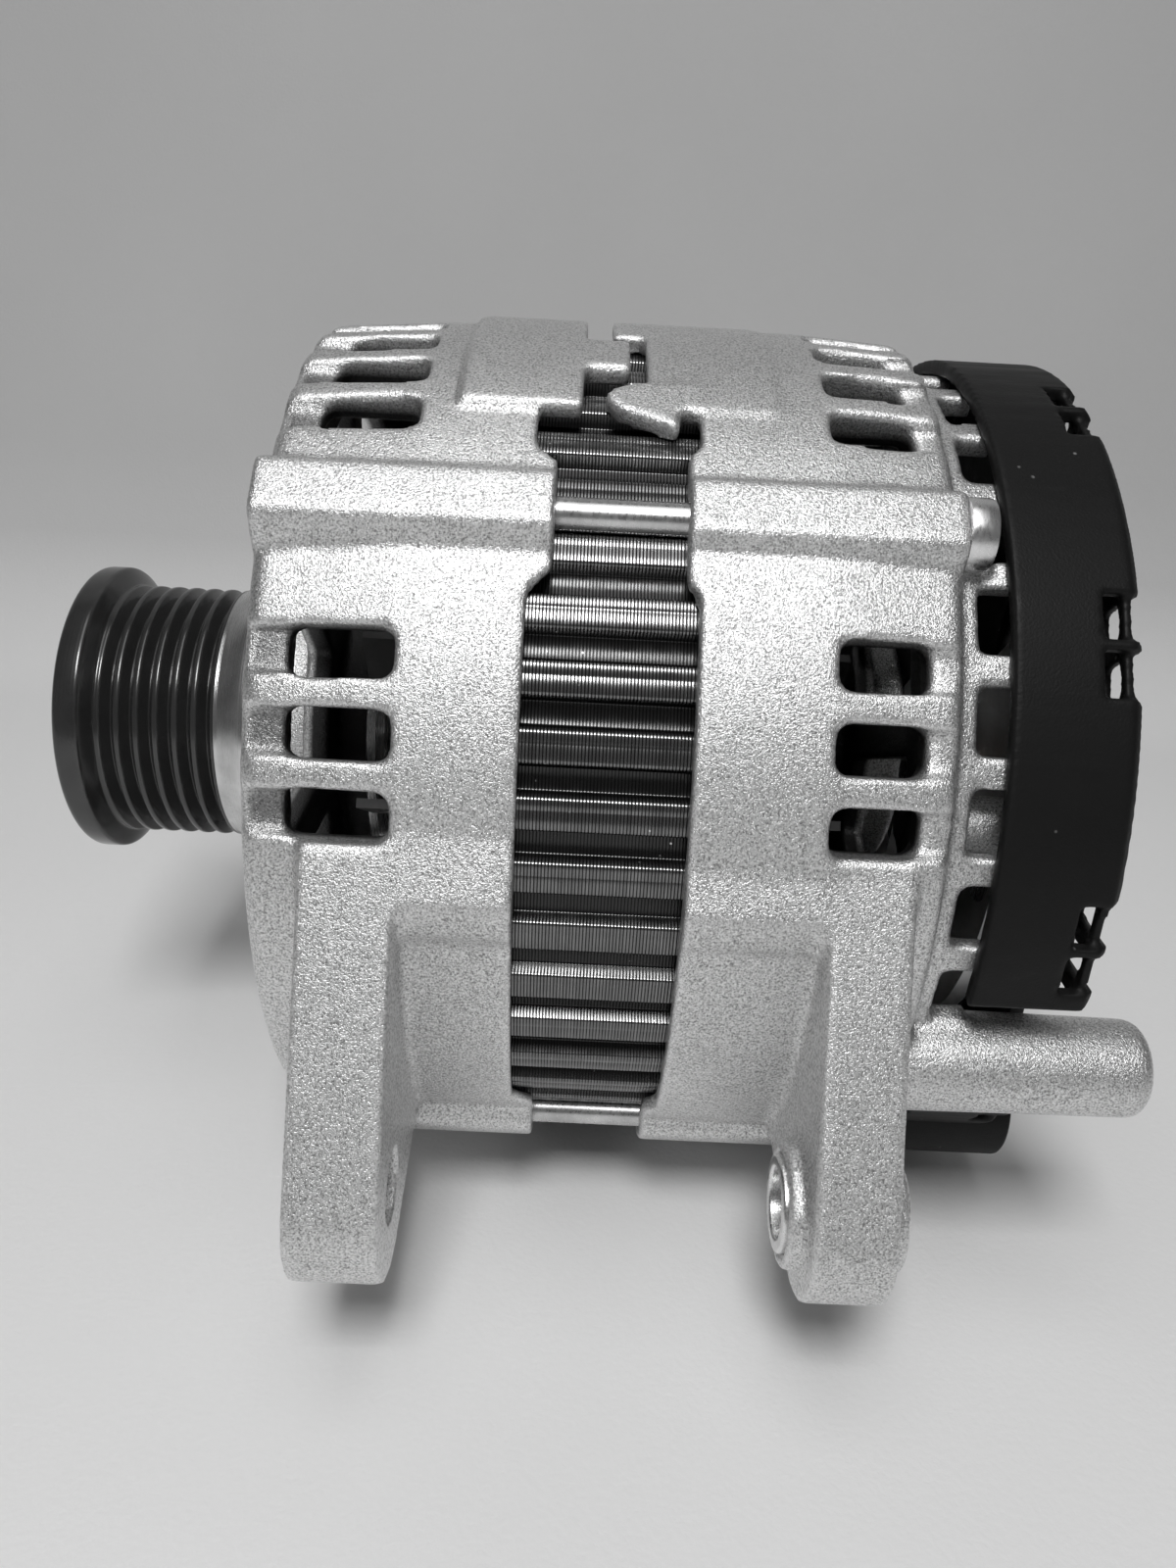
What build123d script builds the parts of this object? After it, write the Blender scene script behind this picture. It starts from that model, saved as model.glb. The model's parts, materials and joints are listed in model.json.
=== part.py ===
from build123d import *
from math import cos, radians, sin, tan
import os

# Lengths are millimetres. X runs along the shaft from the pulley to the rear cover and Z is up.
# The origin is on the shaft's axis, in the middle of the belt. Angles are in degrees round the
# shaft, from 0 on the -Y side to 90 at the top, so the mounting ears stand at about -27.

# Clearances
running_gap = 0.05
seat_gap = 0.1
air_gap = 0.4
open_gap = 1.0
cage_gap = 0.12

# Belt pulley with an overrunning clutch inside
groove_pitch = 3.56
groove_count = 6
groove_depth = 2.7
crest_r = 24.8
crest_flat = 0.7
flange_r = 28.2
flange_width = 5.0
pulley_front = -17.8
collar_r = 27.0
collar_width = 5.0
collar_slope = 2.4
pulley_back = 17.7
clutch_bore_r = 18.0
hub_r = 13.0
hub_tail_r = 11.5
clutch_half_width = 13.0
roller_count = 12
roller_length = 15.0
bush_width = 3.5
cap_r = 20.0
cap_depth = 3.5

# Shaft and slip rings
thread_r = 8.0
thread_length = 18.0
shaft_front = -4.0
shaft_r = 8.5
shoulder_r = 10.5
core_r = 9.5
rear_journal_r = 7.5
slip_journal_r = 6.0
shaft_back = 153.0
slip_ring_r = 8.5
slip_ring_width = 5.0
slip_ring_pitch = 7.0
first_slip_ring_x = 143.0

# Ball bearings
front_bearing_x = 26.0
front_bearing_width = 14.0
front_bearing_r = 23.5
front_ball_r = 4.2
front_ball_count = 7
rear_bearing_x = 126.0
rear_bearing_width = 11.0
rear_bearing_r = 17.5
rear_ball_r = 3.0
rear_ball_count = 8
sleeve_wall = 0.8
seal_thickness = 0.6

# Rotor poles, field coil and fans
pole_front = 53.0
pole_disc = 12.0
pole_length = 58.0
pole_count = 8
pole_disc_r = 36.0
core_outer_r = 19.0
claw_root_width = 21.0
claw_tip_width = 6.0
claw_tip_thickness = 5.0
bobbin_wall = 1.5
coil_r = 37.5
fan_r = 50.0
fan_blade_inner_r = 34.0
fan_blade_width = 9.5
fan_plate = 1.6
fan_blade_count = 11

# Stator
stator_front = 64.0
stator_length = 36.0
stator_r = 74.6
stator_bore_r = 54.5
rib_count = 48
groove_cut = 2.5
groove_width = 5.2
groove_side_angle = 75.0
slot_r = 66.0
slot_width = 3.2
head_inner_r = 57.0
head_outer_r = 68.5
head_length = 12.0

# Housings
cavity_r = 71.0
front_face_x = 29.7
front_rim_x = 32.6
front_skin_r = 76.5
front_rim_r = 75.0
front_lip_x = 69.6
rear_lip_x = 94.1
rear_skin_r = 77.5
rear_rim_x = 132.0
rear_rim_r = 76.6
boss_lip = 3.5
boss_half_angle = 9.8
wall = 5.0
rear_wall = 4.0
front_boss_wall = 5.5
rear_boss_wall = 5.0
window_inner_r = 36.0
window_outer_r = 62.0
window_count = 8
spoke_width = 7.5
rear_window_inner_r = 28.0
drum_r = 71.8
drum_wall = 3.6
drum_back = 142.0
drum_window_count = 30
drum_window_width = 10.0
drum_window_length = 4.8

# Air slots in the skins
slot_pitch = 8.9
slot_height = 7.4
slot_corner_r = 1.9
strip_depth = 2.0
front_slot_x = 36.5
front_slot_length = 15.1
front_slot_angle = 10.1
rear_slot_x = 114.0
rear_slot_length = 13.3
rear_slot_angle = 11.1
side_slots = 3
top_slots = 8
far_slots = 7
bottom_slots = 6

# Through bolts
bolt_angles = (45, 135, 225, 315)
bolt_r = 2.5
bolt_circle_r = 75.5
bolt_head_r = 5.4
bolt_head_height = 4.1
bolt_head_chamfer = 0.5
bolt_socket_flats = 5.0
bolt_socket_depth = 2.0
bolt_reach = 44.0
ridge_crest_r = 80.0
ridge_crest_width = 9.0
ridge_base_width = 15.0
ridge_round = 2.2

# Pads that bridge the stator at the top
pad_r = 77.9
pad_low = 60.0
pad_high = 120.0
front_pad_x = 57.5
front_pad_edge = 76.2
front_finger_tip = 83.4
finger_low = 65.5
finger_high = 114.5
rear_pad_edge = 86.0
rear_pad_x = 106.0
rear_finger_tip = 79.2
rear_finger_height = 7.0

# Mounting ears
ear_face_angle = 23.5
pivot_r = 95.4
pivot_angle = -27.5
ear_end_r = 14.0
pivot_bore_r = 5.25
front_ear_x = 38.9
front_ear_width = 13.9
rear_lug_x = 115.0
rear_lug_width = 12.3
lug_boss_r = 9.6
lug_boss_reach = 2.9
bush_wall = 2.1
bush_proud = 0.5
ear_foot = (28.0, -66.0)
ear_brow = 4.0
shoulder_top = -8.0
shoulder_bottom = -34.0
shoulder_depth = 14.0
lug_mark_above = 9.0
lug_mark_width = 1.2
lug_mark_depth = 0.5
face_nub_r = 4.5
face_nub_radial = 60.0
face_nub_angle = -28.5
face_nub_height = 3.6

# Long boss and output terminal
long_boss_r = 8.4
long_boss_radial = 73.0
long_boss_angle = -23.3
long_boss_start = 118.0
long_boss_end = 171.5
long_boss_tip_r = 7.9
long_boss_round = 2.4
long_boss_hole_r = 4.0
long_boss_hole_depth = 22.0
terminal_radial = 69.2
terminal_angle = -58.2
terminal_r = 11.5
terminal_wall = 2.2
terminal_end = 163.0
stud_r = 4.0
stud_root_r = 3.4
stud_end = 161.5
stud_head_r = 7.0
stud_head = 2.5
nut_flats = 13.0
nut_height = 6.5

# Rear cover
cover_r = 74.5
cover_wall = 2.5
cover_front = 139.5
cover_back = 158.5
notch_count = 10
notch_angle = 33.2
notch_width = 15.6
notch_depth = 6.0
notch_rib = 1.6
notch_inner_r = 57.0
notch_plate = 1.2
notch_plate_r = 73.0
notch_hole_r = 68.6
notch_hole_length = 5.6
notch_hole_width = 5.0
vent_count = 30
vent_inner_r = 26.0
vent_outer_r = 50.0
vent_width = 3.0
post_r = 4.5
post_radial = 62.0
post_angles = (10, 148, 238)
cover_screw_r = 2.0
cover_screw_head_r = 4.2
cover_screw_head = 3.0
cover_screw_length = 14.0

# Rectifier
plate_inner_r = 32.0
plate_outer_r = 55.0
plate_low = 140.0
plate_high = 400.0
negative_plate_x = 136.0
negative_plate_thickness = 3.0
positive_plate_x = 147.0
positive_plate_thickness = 3.0
diode_r = 5.0
diode_reach = 3.5
diode_radial = 48.0
diode_count = 6
diode_pitch = 40.0
rectifier_screw_angles = (157.5, 247.5, 337.5)
rectifier_screw_radial = 38.0
spacer_r = 4.5
rectifier_screw_r = 2.0
rectifier_screw_head_r = 4.0
rectifier_screw_head = 2.6

# Regulator and brushes
regulator_x = 139.5
regulator_length = 15.0
regulator_half_width = 15.0
regulator_bottom = 11.0
regulator_top = 46.0
brush_x_size = 4.2
brush_y_size = 8.0
brush_length = 15.0
pocket_top = 42.0
spring_wire_r = 0.35
spring_turns = 5
regulator_foot = 8.0
regulator_foot_z = 31.0
regulator_screw_r = 2.0
socket_width = 22.0
socket_height = 11.0
socket_z = 33.0
socket_reach = 5.0
socket_wall = 1.6
pin_count = 4
pin_pitch = 4.4
pin_width = 2.8
pin_thickness = 0.8
regulator_foot_height = 9.0
regulator_foot_thickness = 4.0
regulator_post_r = 4.0
regulator_screw_head_r = 3.6
regulator_screw_head = 2.6

# Bearing retainer
retainer_r = 30.0
retainer_bore_r = 20.5
retainer_thickness = 1.6
retainer_screw_radial = 26.4
retainer_screw_r = 1.5
retainer_screw_head_r = 2.8
retainer_screw_head = 1.6
retainer_screw_length = 9.0
retainer_screw_count = 4

# Places worked out from the sizes above
pole_back = pole_front + pole_length
stator_back = stator_front + stator_length
claw_r = stator_bore_r - air_gap
front_bearing_end = front_bearing_x + front_bearing_width
rear_bearing_end = rear_bearing_x + rear_bearing_width
rear_wall_front = rear_rim_x - rear_wall
rear_seat_r = rear_bearing_r + sleeve_wall
front_wall_back = front_face_x + wall
pivot_across = pivot_r * cos(radians(pivot_angle - ear_face_angle))
pivot_up = pivot_r * sin(radians(pivot_angle - ear_face_angle))
ear_face = pivot_across + ear_end_r
bush_r = pivot_bore_r + bush_wall
bush_length = rear_lug_width + 2 * (lug_boss_reach + bush_proud)
cover_inside = cover_back - cover_wall
brush_places = (first_slip_ring_x, first_slip_ring_x + slip_ring_pitch)
brush_tip = slip_ring_r + running_gap
brush_back = brush_tip + brush_length

os.makedirs("parts", exist_ok=True)


def outward(angle):
    """Unit vector from the shaft's axis to that angle."""
    return Vector(0, -cos(radians(angle)), sin(radians(angle)))


def facing(angle, radius=0.0):
    """Plane square to the radius at an angle: local x along the shaft, local y round it."""
    return Plane(origin=outward(angle) * radius, x_dir=(1, 0, 0), z_dir=outward(angle))


def lengthwise(angle):
    """Plane through the shaft at an angle: local x along the shaft, local y outwards."""
    normal = Vector(1, 0, 0).cross(outward(angle))
    return Plane(origin=(0, 0, 0), x_dir=(1, 0, 0), z_dir=normal)


def across(x, angle=0.0):
    """Plane square to the shaft at x, looking forward: local x points outwards at the angle."""
    return Plane(origin=(x, 0, 0), x_dir=outward(angle), z_dir=(-1, 0, 0))


def turned(points, mode=Mode.ADD):
    """Revolves a closed outline of (x, radius) points round the shaft."""
    with BuildSketch(Plane.XZ) as outline:
        with BuildLine():
            Polyline(*points, close=True)
        make_face()
    revolve(outline.sketch, axis=Axis.X, mode=mode)


def ring(x0, x1, inner, outer, mode=Mode.ADD):
    """A tube or disc round the shaft between two places along it."""
    with BuildSketch(across(x0)) as outline:
        Circle(outer)
        if inner > 0:
            Circle(inner, mode=Mode.SUBTRACT)
    extrude(outline.sketch, amount=x0 - x1, mode=mode)


def sector(x0, x1, inner, outer, low, high, mode=Mode.ADD):
    """Part of a tube round the shaft, between two angles."""
    with BuildSketch(lengthwise(high)) as outline:
        with Locations(((x0 + x1) / 2, (inner + outer) / 2)):
            Rectangle(x1 - x0, outer - inner)
    revolve(outline.sketch, axis=Axis.X, revolution_arc=high - low, mode=mode)


def rod(x0, x1, radius, radial, angle, mode=Mode.ADD):
    """A round rod along the shaft's direction at a radius and an angle."""
    with BuildSketch(across(x0, angle)) as outline:
        with Locations((radial, 0)):
            Circle(radius)
    extrude(outline.sketch, amount=x0 - x1, mode=mode)


def turned_beside(points, radial, angle, mode=Mode.ADD):
    """Revolves a closed outline of (x, radius) points round a line beside the shaft."""
    with BuildSketch(lengthwise(angle)) as outline:
        with BuildLine():
            Polyline(*[(x, radial + r) for x, r in points], close=True)
        make_face()
    revolve(outline.sketch, axis=Axis(outward(angle) * radial, (1, 0, 0)), mode=mode)


def hex_rod(x0, x1, across_flats, radial, angle, mode=Mode.ADD):
    """A hexagon along the shaft's direction, such as a nut or a bolt's socket."""
    with BuildSketch(across(x0, angle)) as outline:
        with Locations((radial, 0)):
            RegularPolygon(across_flats / 2, 6, major_radius=False)
    extrude(outline.sketch, amount=x0 - x1, mode=mode)


def save(part, name):
    """Labels a finished piece and writes its file."""
    part.label = name
    export_step(part, f"parts/{name}.step")


# Pulley
def pulley_outline():
    """Half section of the grooved ring, bored for the clutch and stepped for the front cap."""
    flange_back = pulley_front + flange_width
    collar_front = pulley_back - collar_width
    half_belt = groove_pitch * groove_count / 2
    root_r = crest_r - groove_depth
    points = [
        (pulley_front, cap_r),
        (pulley_front, flange_r - 1.5),
        (pulley_front + 1.0, flange_r),
        (flange_back - 0.8, flange_r),
        (flange_back, flange_r - 0.8),
        (flange_back, crest_r + 1.6),
    ]
    for k in range(groove_count + 1):
        crest_x = -half_belt + k * groove_pitch
        points.append((crest_x - crest_flat / 2, crest_r))
        points.append((crest_x + crest_flat / 2, crest_r))
        if k < groove_count:
            points.append((crest_x + groove_pitch / 2, root_r))
    points += [
        (collar_front, crest_r),
        (collar_front + collar_slope, collar_r),
        (pulley_back - 0.8, collar_r),
        (pulley_back, collar_r - 0.8),
        (pulley_back, clutch_bore_r),
        (pulley_front + cap_depth, clutch_bore_r),
        (pulley_front + cap_depth, cap_r),
    ]
    return points


with BuildPart() as pulley:
    turned(pulley_outline())
save(pulley.part, "pulley")

# The cap closes the clutch's bore from the front and seats on the step.
with BuildPart() as pulley_cap:
    ring(pulley_front + 0.5, pulley_front + cap_depth, 0, cap_r)
    ring(pulley_front, pulley_front + 0.5, 0, cap_r - 3)
save(pulley_cap.part, "pulley_cap")

with BuildPart() as clutch_hub:
    turned([
        (-clutch_half_width, thread_r + 1),
        (-clutch_half_width, hub_r),
        (clutch_half_width, hub_r),
        (clutch_half_width, hub_tail_r),
        (front_bearing_x, hub_tail_r),
        (front_bearing_x, shaft_r),
        (shaft_front + thread_length, shaft_r),
        (shaft_front + thread_length, thread_r),
        (shaft_front, thread_r),
        (shaft_front, thread_r + 1),
    ])
save(clutch_hub.part, "clutch_hub")

roller_r = (clutch_bore_r - hub_r) / 2 - running_gap
with BuildPart() as clutch_rollers:
    for k in range(roller_count):
        rod(-roller_length / 2, roller_length / 2, roller_r,
            (clutch_bore_r + hub_r) / 2, k * 360 / roller_count)
save(clutch_rollers.part, "clutch_rollers")

with BuildPart() as clutch_bushes:
    for x in (-clutch_half_width, clutch_half_width - bush_width):
        ring(x, x + bush_width, hub_r, clutch_bore_r - running_gap)
save(clutch_bushes.part, "clutch_bushes")

# Rotor
with BuildPart() as shaft:
    turned([
        (shaft_front, 0),
        (shaft_front, thread_r - 0.8),
        (shaft_front + 0.8, thread_r),
        (shaft_front + thread_length, thread_r),
        (shaft_front + thread_length, shaft_r),
        (front_bearing_end, shaft_r),
        (front_bearing_end, shoulder_r),
        (pole_front, shoulder_r),
        (pole_front, core_r),
        (rear_bearing_x, core_r),
        (rear_bearing_x, rear_journal_r),
        (rear_bearing_end + 1, rear_journal_r),
        (rear_bearing_end + 1, slip_journal_r),
        (shaft_back, slip_journal_r),
        (shaft_back, 0),
    ])
save(shaft.part, "shaft")


def claw_fingers(root_x, tip_x, start):
    """The eight tapered fingers of one pole, which lie along the rotor's outside."""
    way = 1 if tip_x > root_x else -1
    disc_x = root_x + way * pole_disc
    with BuildPart() as fingers:
        turned([
            (root_x, pole_disc_r - 4),
            (root_x, claw_r),
            (tip_x, claw_r),
            (tip_x, claw_r - claw_tip_thickness),
            (disc_x, coil_r + bobbin_wall + 0.6),
            (disc_x, pole_disc_r - 4),
        ])
        planes = [facing(start + k * 360 / pole_count) for k in range(pole_count)]
        with BuildSketch(*planes):
            with BuildLine():
                Polyline(
                    (root_x, -claw_root_width / 2),
                    (disc_x, -claw_root_width / 2),
                    (tip_x, -claw_tip_width / 2),
                    (tip_x, claw_tip_width / 2),
                    (disc_x, claw_root_width / 2),
                    (root_x, claw_root_width / 2),
                    close=True,
                )
            make_face()
        extrude(amount=claw_r + 5, mode=Mode.INTERSECT)
    return fingers.part


def claw_pole(root_x, tip_x, start):
    """A disc with eight fingers and half of the core that the field coil is wound on."""
    way = 1 if tip_x > root_x else -1
    disc_x = root_x + way * pole_disc
    middle = (pole_front + pole_back) / 2
    fingers = claw_fingers(root_x, tip_x, start)
    with BuildPart() as pole:
        ring(min(root_x, disc_x), max(root_x, disc_x), core_r, pole_disc_r)
        ring(min(disc_x, middle), max(disc_x, middle), core_r, core_outer_r)
        add(fingers)
    return pole.part


finger_reach = pole_length - 3
front_claw_pole = claw_pole(pole_front, pole_front + finger_reach, 0)
save(front_claw_pole, "front_claw_pole")
rear_claw_pole = claw_pole(pole_back, pole_back - finger_reach, 180 / pole_count)
save(rear_claw_pole, "rear_claw_pole")

with BuildPart() as coil_bobbin:
    x0 = pole_front + pole_disc
    x1 = pole_back - pole_disc
    ring(x0, x1, core_outer_r, core_outer_r + bobbin_wall)
    ring(x0, x0 + bobbin_wall, core_outer_r, coil_r)
    ring(x1 - bobbin_wall, x1, core_outer_r, coil_r)
save(coil_bobbin.part, "coil_bobbin")

with BuildPart() as field_coil:
    ring(x0 + bobbin_wall, x1 - bobbin_wall, core_outer_r + bobbin_wall, coil_r)
save(field_coil.part, "field_coil")


def fan(plate_x, way):
    """A pressed fan: a plate against the pole and slanting blades bent up from it."""
    plate_edge = plate_x + way * fan_plate
    blade_edge = plate_edge + way * fan_blade_width
    middle_r = (fan_blade_inner_r + fan_r) / 2
    with BuildPart() as wheel:
        ring(min(plate_x, plate_edge), max(plate_x, plate_edge), core_inner(way), fan_r)
        with BuildSketch(across(max(plate_edge, blade_edge))):
            with PolarLocations(middle_r, fan_blade_count):
                with Locations(Rotation(0, 0, 28)):
                    Rectangle(fan_r - fan_blade_inner_r, fan_plate)
        extrude(amount=fan_blade_width)
        ring(min(plate_x, blade_edge) - 1, max(plate_x, blade_edge) + 1, fan_r, fan_r + 9,
             mode=Mode.SUBTRACT)
    return wheel.part


def core_inner(way):
    """Radius of the shaft where the fan on that side sits."""
    return shoulder_r if way < 0 else core_r


front_fan = fan(pole_front, -1)
save(front_fan, "front_fan")
rear_fan = fan(pole_back, 1)
save(rear_fan, "rear_fan")

with BuildPart() as slip_rings:
    for x in brush_places:
        ring(x - slip_ring_width / 2, x + slip_ring_width / 2, slip_ring_r - 1.2, slip_ring_r)
save(slip_rings.part, "slip_rings")

with BuildPart() as slip_ring_insulator:
    turned([
        (rear_bearing_end + 1, slip_journal_r),
        (rear_bearing_end + 1, slip_ring_r - 1.2),
        (shaft_back, slip_ring_r - 1.2),
        (shaft_back, slip_journal_r),
    ])
    ring(brush_places[0] + slip_ring_width / 2, brush_places[1] - slip_ring_width / 2,
         slip_ring_r - 1.2, slip_ring_r - 0.4)
save(slip_ring_insulator.part, "slip_ring_insulator")


# Ball bearings
def bearing(x, width, inner, outer, ball_r, count, name):
    """Outer ring, inner ring, balls, cage and seals of one sealed ball bearing."""
    middle = x + width / 2
    ball_circle = (inner + outer) / 2
    ring_wall = (outer - inner) / 2 - ball_r * 0.9
    groove_r = ball_r + running_gap
    inner_top = inner + ring_wall
    outer_bottom = outer - ring_wall
    with BuildPart() as outer_ring:
        ring(x, x + width, outer_bottom, outer)
        with BuildSketch(Plane.XZ):
            with Locations((middle, ball_circle)):
                Circle(groove_r)
        revolve(axis=Axis.X, mode=Mode.SUBTRACT)
    save(outer_ring.part, f"{name}_outer_ring")
    with BuildPart() as inner_ring:
        ring(x, x + width, inner, inner_top)
        with BuildSketch(Plane.XZ):
            with Locations((middle, ball_circle)):
                Circle(groove_r)
        revolve(axis=Axis.X, mode=Mode.SUBTRACT)
    save(inner_ring.part, f"{name}_inner_ring")
    centres = [outward(k * 360 / count) * ball_circle + Vector(middle, 0, 0) for k in range(count)]
    with BuildPart() as balls:
        with Locations(*centres):
            Sphere(ball_r)
    save(balls.part, f"{name}_balls")
    cage_half = (outer_bottom - inner_top) / 2 - 0.4
    cage_front = middle - ball_r - 1.2
    with BuildPart() as cage:
        ring(cage_front, middle + ball_r * 0.4, ball_circle - cage_half, ball_circle + cage_half)
        planes = [facing(k * 360 / count) for k in range(count)]
        with BuildSketch(*planes):
            with Locations((middle, 0)):
                Circle(ball_r + cage_gap)
        extrude(amount=outer, mode=Mode.SUBTRACT)
    save(cage.part, f"{name}_cage")
    with BuildPart() as seals:
        for seal_x in (x + 0.4, x + width - 0.4 - seal_thickness):
            ring(seal_x, seal_x + seal_thickness, inner_top + running_gap, outer_bottom)
    save(seals.part, f"{name}_seals")


bearing(front_bearing_x, front_bearing_width, shaft_r, front_bearing_r,
        front_ball_r, front_ball_count, "front_bearing")
bearing(rear_bearing_x, rear_bearing_width, rear_journal_r, rear_bearing_r,
        rear_ball_r, rear_ball_count, "rear_bearing")

with BuildPart() as bearing_sleeve:
    ring(rear_bearing_x, rear_bearing_end, rear_bearing_r, rear_seat_r)
save(bearing_sleeve.part, "bearing_sleeve")

with BuildPart() as bearing_retainer:
    ring(front_bearing_end, front_bearing_end + retainer_thickness, retainer_bore_r, retainer_r)
    for k in range(retainer_screw_count):
        rod(front_bearing_end, front_bearing_end + retainer_thickness, retainer_screw_r,
            retainer_screw_radial, 45 + k * 90, mode=Mode.SUBTRACT)
save(bearing_retainer.part, "bearing_retainer")

with BuildPart() as retainer_screws:
    for k in range(retainer_screw_count):
        head_x = front_bearing_end + retainer_thickness
        rod(head_x, head_x + retainer_screw_head, retainer_screw_head_r, retainer_screw_radial, 45 + k * 90)
        rod(head_x - retainer_screw_length, head_x, retainer_screw_r,
            retainer_screw_radial, 45 + k * 90)
save(retainer_screws.part, "retainer_screws")

# Stator
groove_mouth = groove_width + 2 * groove_cut / tan(radians(groove_side_angle))
with BuildPart() as stator_core:
    with BuildSketch(across(stator_front)):
        Circle(stator_r)
        Circle(stator_bore_r, mode=Mode.SUBTRACT)
        with PolarLocations(stator_r, rib_count, start_angle=bolt_angles[0]):
            Trapezoid(groove_mouth, 2 * groove_cut, groove_side_angle, rotation=90,
                      mode=Mode.SUBTRACT)
        with PolarLocations((stator_bore_r + slot_r) / 2 - 1, rib_count):
            Rectangle(slot_r - stator_bore_r + 2, slot_width, mode=Mode.SUBTRACT)
    extrude(amount=-stator_length)
save(stator_core.part, "stator_core")

with BuildPart() as stator_winding:
    for x in (stator_front - head_length, stator_back):
        ring(x, x + head_length, head_inner_r, head_outer_r - 2.5)
    with BuildSketch(across(stator_front)):
        with PolarLocations((head_inner_r + slot_r) / 2, rib_count):
            Rectangle(slot_r - head_inner_r - 0.4, slot_width - 2 * seat_gap)
    extrude(amount=-stator_length)
save(stator_winding.part, "stator_winding")

with BuildPart() as through_bolts:
    for angle in bolt_angles:
        rod(bolt_reach, rear_rim_x, bolt_r, bolt_circle_r, angle)
        head_end = rear_rim_x + bolt_head_height
        turned_beside([
            (rear_rim_x, 0),
            (rear_rim_x, bolt_head_r),
            (head_end - bolt_head_chamfer, bolt_head_r),
            (head_end, bolt_head_r - bolt_head_chamfer),
            (head_end, 0),
        ], bolt_circle_r, angle)
        hex_rod(head_end - bolt_socket_depth, head_end + 1, bolt_socket_flats, bolt_circle_r,
                angle, mode=Mode.SUBTRACT)
save(through_bolts.part, "through_bolts")


# Housings
def ridges(x0, x1):
    """The four rounded ridges that carry the through bolts."""
    for angle in bolt_angles:
        with BuildSketch(across(x0, angle)) as outline:
            with BuildLine():
                Polyline(
                    (cavity_r, -ridge_base_width / 2),
                    (front_rim_r, -ridge_base_width / 2),
                    (ridge_crest_r, -ridge_crest_width / 2),
                    (ridge_crest_r, ridge_crest_width / 2),
                    (front_rim_r, ridge_base_width / 2),
                    (cavity_r, ridge_base_width / 2),
                    close=True,
                )
            make_face()
            fillet(outline.vertices().sort_by(Axis.X)[-2:], ridge_round)
        extrude(outline.sketch, amount=x0 - x1)


def ear(x, width):
    """One mounting ear: a rounded end about the pivot, drawn in to the housing."""
    with BuildSketch(across(x, ear_face_angle)) as outline:
        with Locations((pivot_across, pivot_up)):
            Circle(ear_end_r)
        Polygon((ear_face, shoulder_top), (ear_face, shoulder_top - ear_brow), ear_foot,
                align=None)
        make_hull()
    extrude(outline.sketch, amount=-width)


def shoulder(x0, x1):
    """The flat block beside an ear, level with the ear's face, above a recess."""
    with BuildSketch(across(x0, ear_face_angle)) as outline:
        Polygon(
            (ear_face - shoulder_depth, shoulder_top),
            (ear_face, shoulder_top),
            (ear_face, shoulder_bottom + ear_brow),
            (ear_face - 3, shoulder_bottom),
            (ear_face - shoulder_depth, shoulder_bottom - 6),
            align=None,
        )
    extrude(outline.sketch, amount=x0 - x1)


def slot_angles(side_start):
    """Middles of all air slots round one housing."""
    side = [side_start + k * slot_pitch for k in range(side_slots)]
    top = [90 + (k - (top_slots - 1) / 2) * slot_pitch for k in range(top_slots)]
    far = [180 + (k - (far_slots - 1) / 2) * slot_pitch for k in range(far_slots)]
    bottom = [270 + (k - (bottom_slots - 1) / 2) * slot_pitch for k in range(bottom_slots)]
    return side + top + far + bottom


def air_slots(x, length, side_start):
    """Cuts the air slots, with rounded corners, through the skin."""
    planes = [facing(angle, cavity_r - 4) for angle in slot_angles(side_start)]
    with BuildSketch(*planes) as outline:
        with Locations((x + length / 2, 0)):
            RectangleRounded(length, slot_height, slot_corner_r)
    extrude(outline.sketch, amount=ridge_crest_r - cavity_r + 10, mode=Mode.SUBTRACT)


def rim_strips(x0, x1, skin_r, side_start):
    """Lowers the skin between each slot and the rim, so the bars stand proud of it."""
    planes = [facing(angle, skin_r - strip_depth) for angle in slot_angles(side_start)]
    with BuildSketch(*planes) as outline:
        with Locations(((x0 + x1) / 2, 0)):
            RectangleRounded(x1 - x0, slot_height - 0.8, slot_corner_r)
    extrude(outline.sketch, amount=strip_depth + 10, mode=Mode.SUBTRACT)


def side_recess(x0, x1):
    """Trims the skin's edge back between the bolt ridges, which keep a longer lip."""
    half = 45 - boss_half_angle
    for middle in (0, 180, 270):
        sector(x0, x1, stator_r - 1, ridge_crest_r + 4, middle - half, middle + half,
               mode=Mode.SUBTRACT)
    for low, high in ((90 - half, pad_low), (pad_high, 90 + half)):
        sector(x0, x1, stator_r - 1, ridge_crest_r + 4, low, high, mode=Mode.SUBTRACT)


def bolt_holes(x0, x1):
    """Holes for the through bolts, which the threads or shanks fill."""
    for angle in bolt_angles:
        rod(x0, x1, bolt_r, bolt_circle_r, angle, mode=Mode.SUBTRACT)


def corner_wedges(edge_x, way):
    """Slopes at the ends of each longer lip, so it narrows towards its tip."""
    for angle in bolt_angles:
        for side in (-1, 1):
            reach = stator_r * radians(boss_half_angle)
            with BuildSketch(facing(angle, stator_r - 1)) as outline:
                Polygon(
                    (edge_x, side * (reach + 2)),
                    (edge_x + way * boss_lip * 1.2, side * (reach + 2)),
                    (edge_x + way * boss_lip * 1.2, side * (reach - 4.4)),
                    (edge_x, side * (reach - 0.2)),
                    align=None,
                )
            extrude(outline.sketch, amount=ridge_crest_r - stator_r + 2, mode=Mode.SUBTRACT)


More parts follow.
